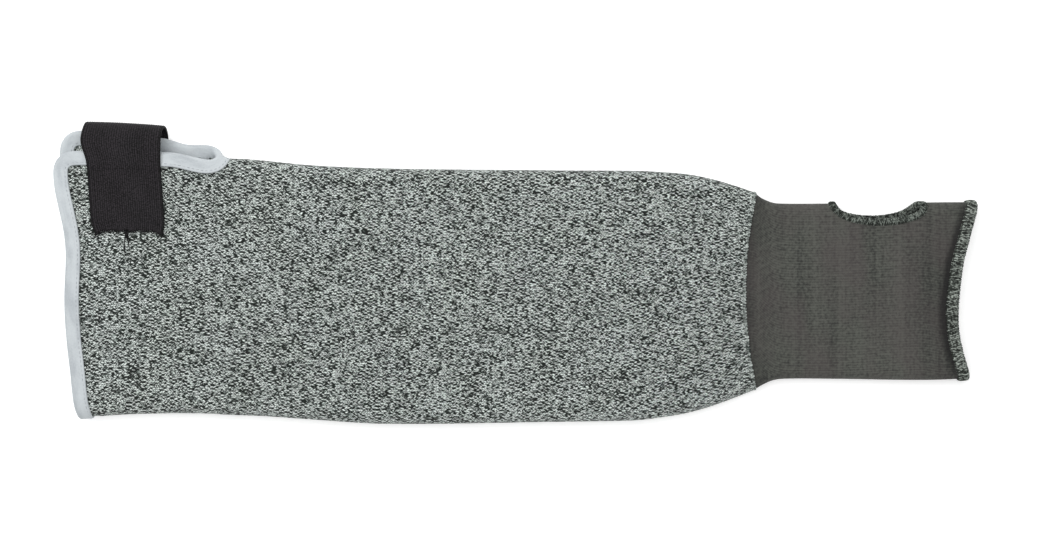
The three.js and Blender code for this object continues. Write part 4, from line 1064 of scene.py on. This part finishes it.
strap_normals = surface_normals(strap_points, NEVER_JOINED)
rib_at = np.arange(STRAP_RIBS * RIB_COLUMNS + 1) / RIB_COLUMNS
groove = 0.15 + 0.15 * np.cos(rib_at * 2 * math.pi)
strap_thickness = (STRAP_CLOTH - groove)[:, None] * np.ones((1, STRAP_ROWS))
strap_uv = np.stack(np.meshgrid(rib_at, strap_run, indexing="ij"), axis=2)

elastic = Finish("black_elastic", Roughness=0.8, Specular_IOR_Level=0.25)
rib_no, down, _ = elastic.split(elastic.node("UVMap", uv_map="UVMap"))
crown = 1 - (rib_no.part() * 2 - 1) ** 2
pick = ((down / 0.85 + rib_no.floor() * 0.5).part() * 2 - 1).size()
grain = elastic.noise(rib_no * 1.3, down * 1.3, 3.0)
wear = elastic.noise(rib_no * 0.1, down * 0.08, 2.0)
selvedge = (rib_no / STRAP_RIBS * 2 - 1).size().rise(0.93, 0.98)
# Painted shade: each rib is lighter on its crown and darker in the grooves between ribs. Grain and wear vary
# the black at random, and it is darker at both edges.
lint_and_rib_shade = crown * (0.7 + pick * 0.6) + (grain - 0.5) * 3.2 + (wear - 0.5) * 0.8 - selvedge * 0.7
elastic.feed("Base Color", elastic.blend(lint_and_rib_shade.rise(-0.1, 1.7), srgb(0, 0, 0), srgb(50, 46, 50)))
elastic.bump(1 - pick ** 2, 0.00014, 0.6)
strap = cloth("elastic_strap_web", strap_points, strap_normals, NEVER_JOINED, strap_thickness,
              {"UVMap": strap_uv}, [elastic])
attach(strap, "root")
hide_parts("elastic_strap")

black_thread = thread_finish("black_thread", srgb(12, 11, 13), srgb(36, 34, 37), 0.5, 0.4)


def on_strap(across, down, side, raised):
    """A place on the strap, across its width from -0.5 to 0.5 and down from either end."""
    column = (across + 0.5) * (len(strap_points) - 1)
    row = down / strap_run[-1] * (STRAP_ROWS - 1)
    if side < 0:
        row = STRAP_ROWS - 1 - row
    i, j = int(min(column, len(strap_points) - 2)), int(min(row, STRAP_ROWS - 2))
    s, t = column - i, row - j
    corners = ((i, j, (1 - s) * (1 - t)), (i + 1, j, s * (1 - t)),
               (i, j + 1, (1 - s) * t), (i + 1, j + 1, s * t))
    place = sum(strap_points[a, b] * w for a, b, w in corners)
    normal = sum(strap_normals[a, b] * w for a, b, w in corners)
    outward = -normal if strap_normals[len(strap_points) // 2, 4][2] < 0 else normal
    return place + outward * raised, outward


SEWN_HALF, SEWN_FROM, SEWN_TO, EDGE_STEPS = 0.42, 4, 30, 30
end_left, end_right = (-SEWN_HALF, SEWN_FROM), (SEWN_HALF, SEWN_FROM)
up_left, up_right = (-SEWN_HALF, SEWN_TO), (SEWN_HALF, SEWN_TO)
box_edges = [(end_left, end_right), (end_right, up_right), (up_right, up_left), (up_left, end_left),
             (end_left, up_right), (up_left, end_right)]
rows = []
for side in (1, -1):
    for (a0, d0), (a1, d1) in box_edges:
        places = [on_strap(a0 + (a1 - a0) * t, d0 + (d1 - d0) * t, side, STRAP_CLOTH / 2 - 0.14)
                  for t in np.linspace(0, 1, EDGE_STEPS)]
        rows.append((np.array([p for p, _ in places]), np.array([n for _, n in places]), False))
strap_stitch = bent_rod([(-1.1, 0, -0.25), (-0.8, 0, 0.02), (0, 0, 0.09), (0.8, 0, 0.02), (1.1, 0, -0.25)],
                        (0, 1, 0), [0.1, 0.18, 0.2, 0.18, 0.1])
strap_stitches = copies_along("strap_stitches", rows, strap_stitch, black_thread, spacing=2.7,
                              turn_spread=0.12, smallest=0.9, seed=21)
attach(strap_stitches, "root")

# frayed ends of the elastic's yarns, at both of its cut ends
FRAY_LEVEL = 0.3
end_rows = []
for end in (0, STRAP_ROWS - 1):
    for level in (-FRAY_LEVEL, FRAY_LEVEL):
        end_rows.append((strap_points[:, end] + strap_normals[:, end] * level, strap_normals[:, end], False))
fray_shape = bent_rod(
    [(0, 0.5, 0), (0.05, -0.1, 0.03), (-0.05, -0.6, 0.0), (0.15, -1.05, -0.05), (0.1, -1.4, -0.1)],
    (0, 0, 1), [0.14, 0.15, 0.14, 0.12, 0.06], sides=4)
along_strap = strap_points[1, 0] - strap_points[0, 0]
flip = np.sign(np.cross(strap_normals[0, 0], along_strap)[1])
fray_shape = (fray_shape[0] * (1, flip, 1), fray_shape[1] if flip > 0 else [f[::-1] for f in fray_shape[1]],
              fray_shape[2])
fray = copies_along("strap_fray", end_rows, fray_shape, black_thread, spacing=0.62,
                    turn_spread=0.5, tilt_spread=0.2, smallest=0.45, seed=33)
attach(fray, "root")

# the ends of the sewing threads, left loose under the strap's end and lying on the knit
TAIL_START, TAIL_LIFT, TAIL_THICK = 31, 0.3, 0.24
tails, tail_faces, tail_uvs, done = [], [], [], 0
# along, length, drift
for k, (start, length, drift) in enumerate((
    (-306.2, 9.5, 0.8), (-305.6, 12, 0.2), (-305.0, 13.5, -0.7), (-304.4, 11, 0.6), (-303.9, 8, -0.4),
)):
    t = np.linspace(0, 1, 12)
    x = start + drift * t + 0.5 * np.sin(5 * t + k)
    y = TAIL_START - length * t
    z = [float(body_shape(a)[5](b)) + BODY_WALL / 2 + TAIL_LIFT for a, b in zip(x, y)]
    rings, faces, uvs = bent_rod(np.stack([x, y, z], axis=1), (0, 0, 1), [TAIL_THICK] * 10 + [0.18, 0.08])
    tails.append(rings)
    tail_faces += [[v + done for v in face] for face in faces]
    tail_uvs += uvs
    done += len(rings)
loose_threads = mesh_of("loose_threads", np.concatenate(tails), tail_faces, {"UVMap": tail_uvs},
                        [black_thread])
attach(loose_threads, "root")
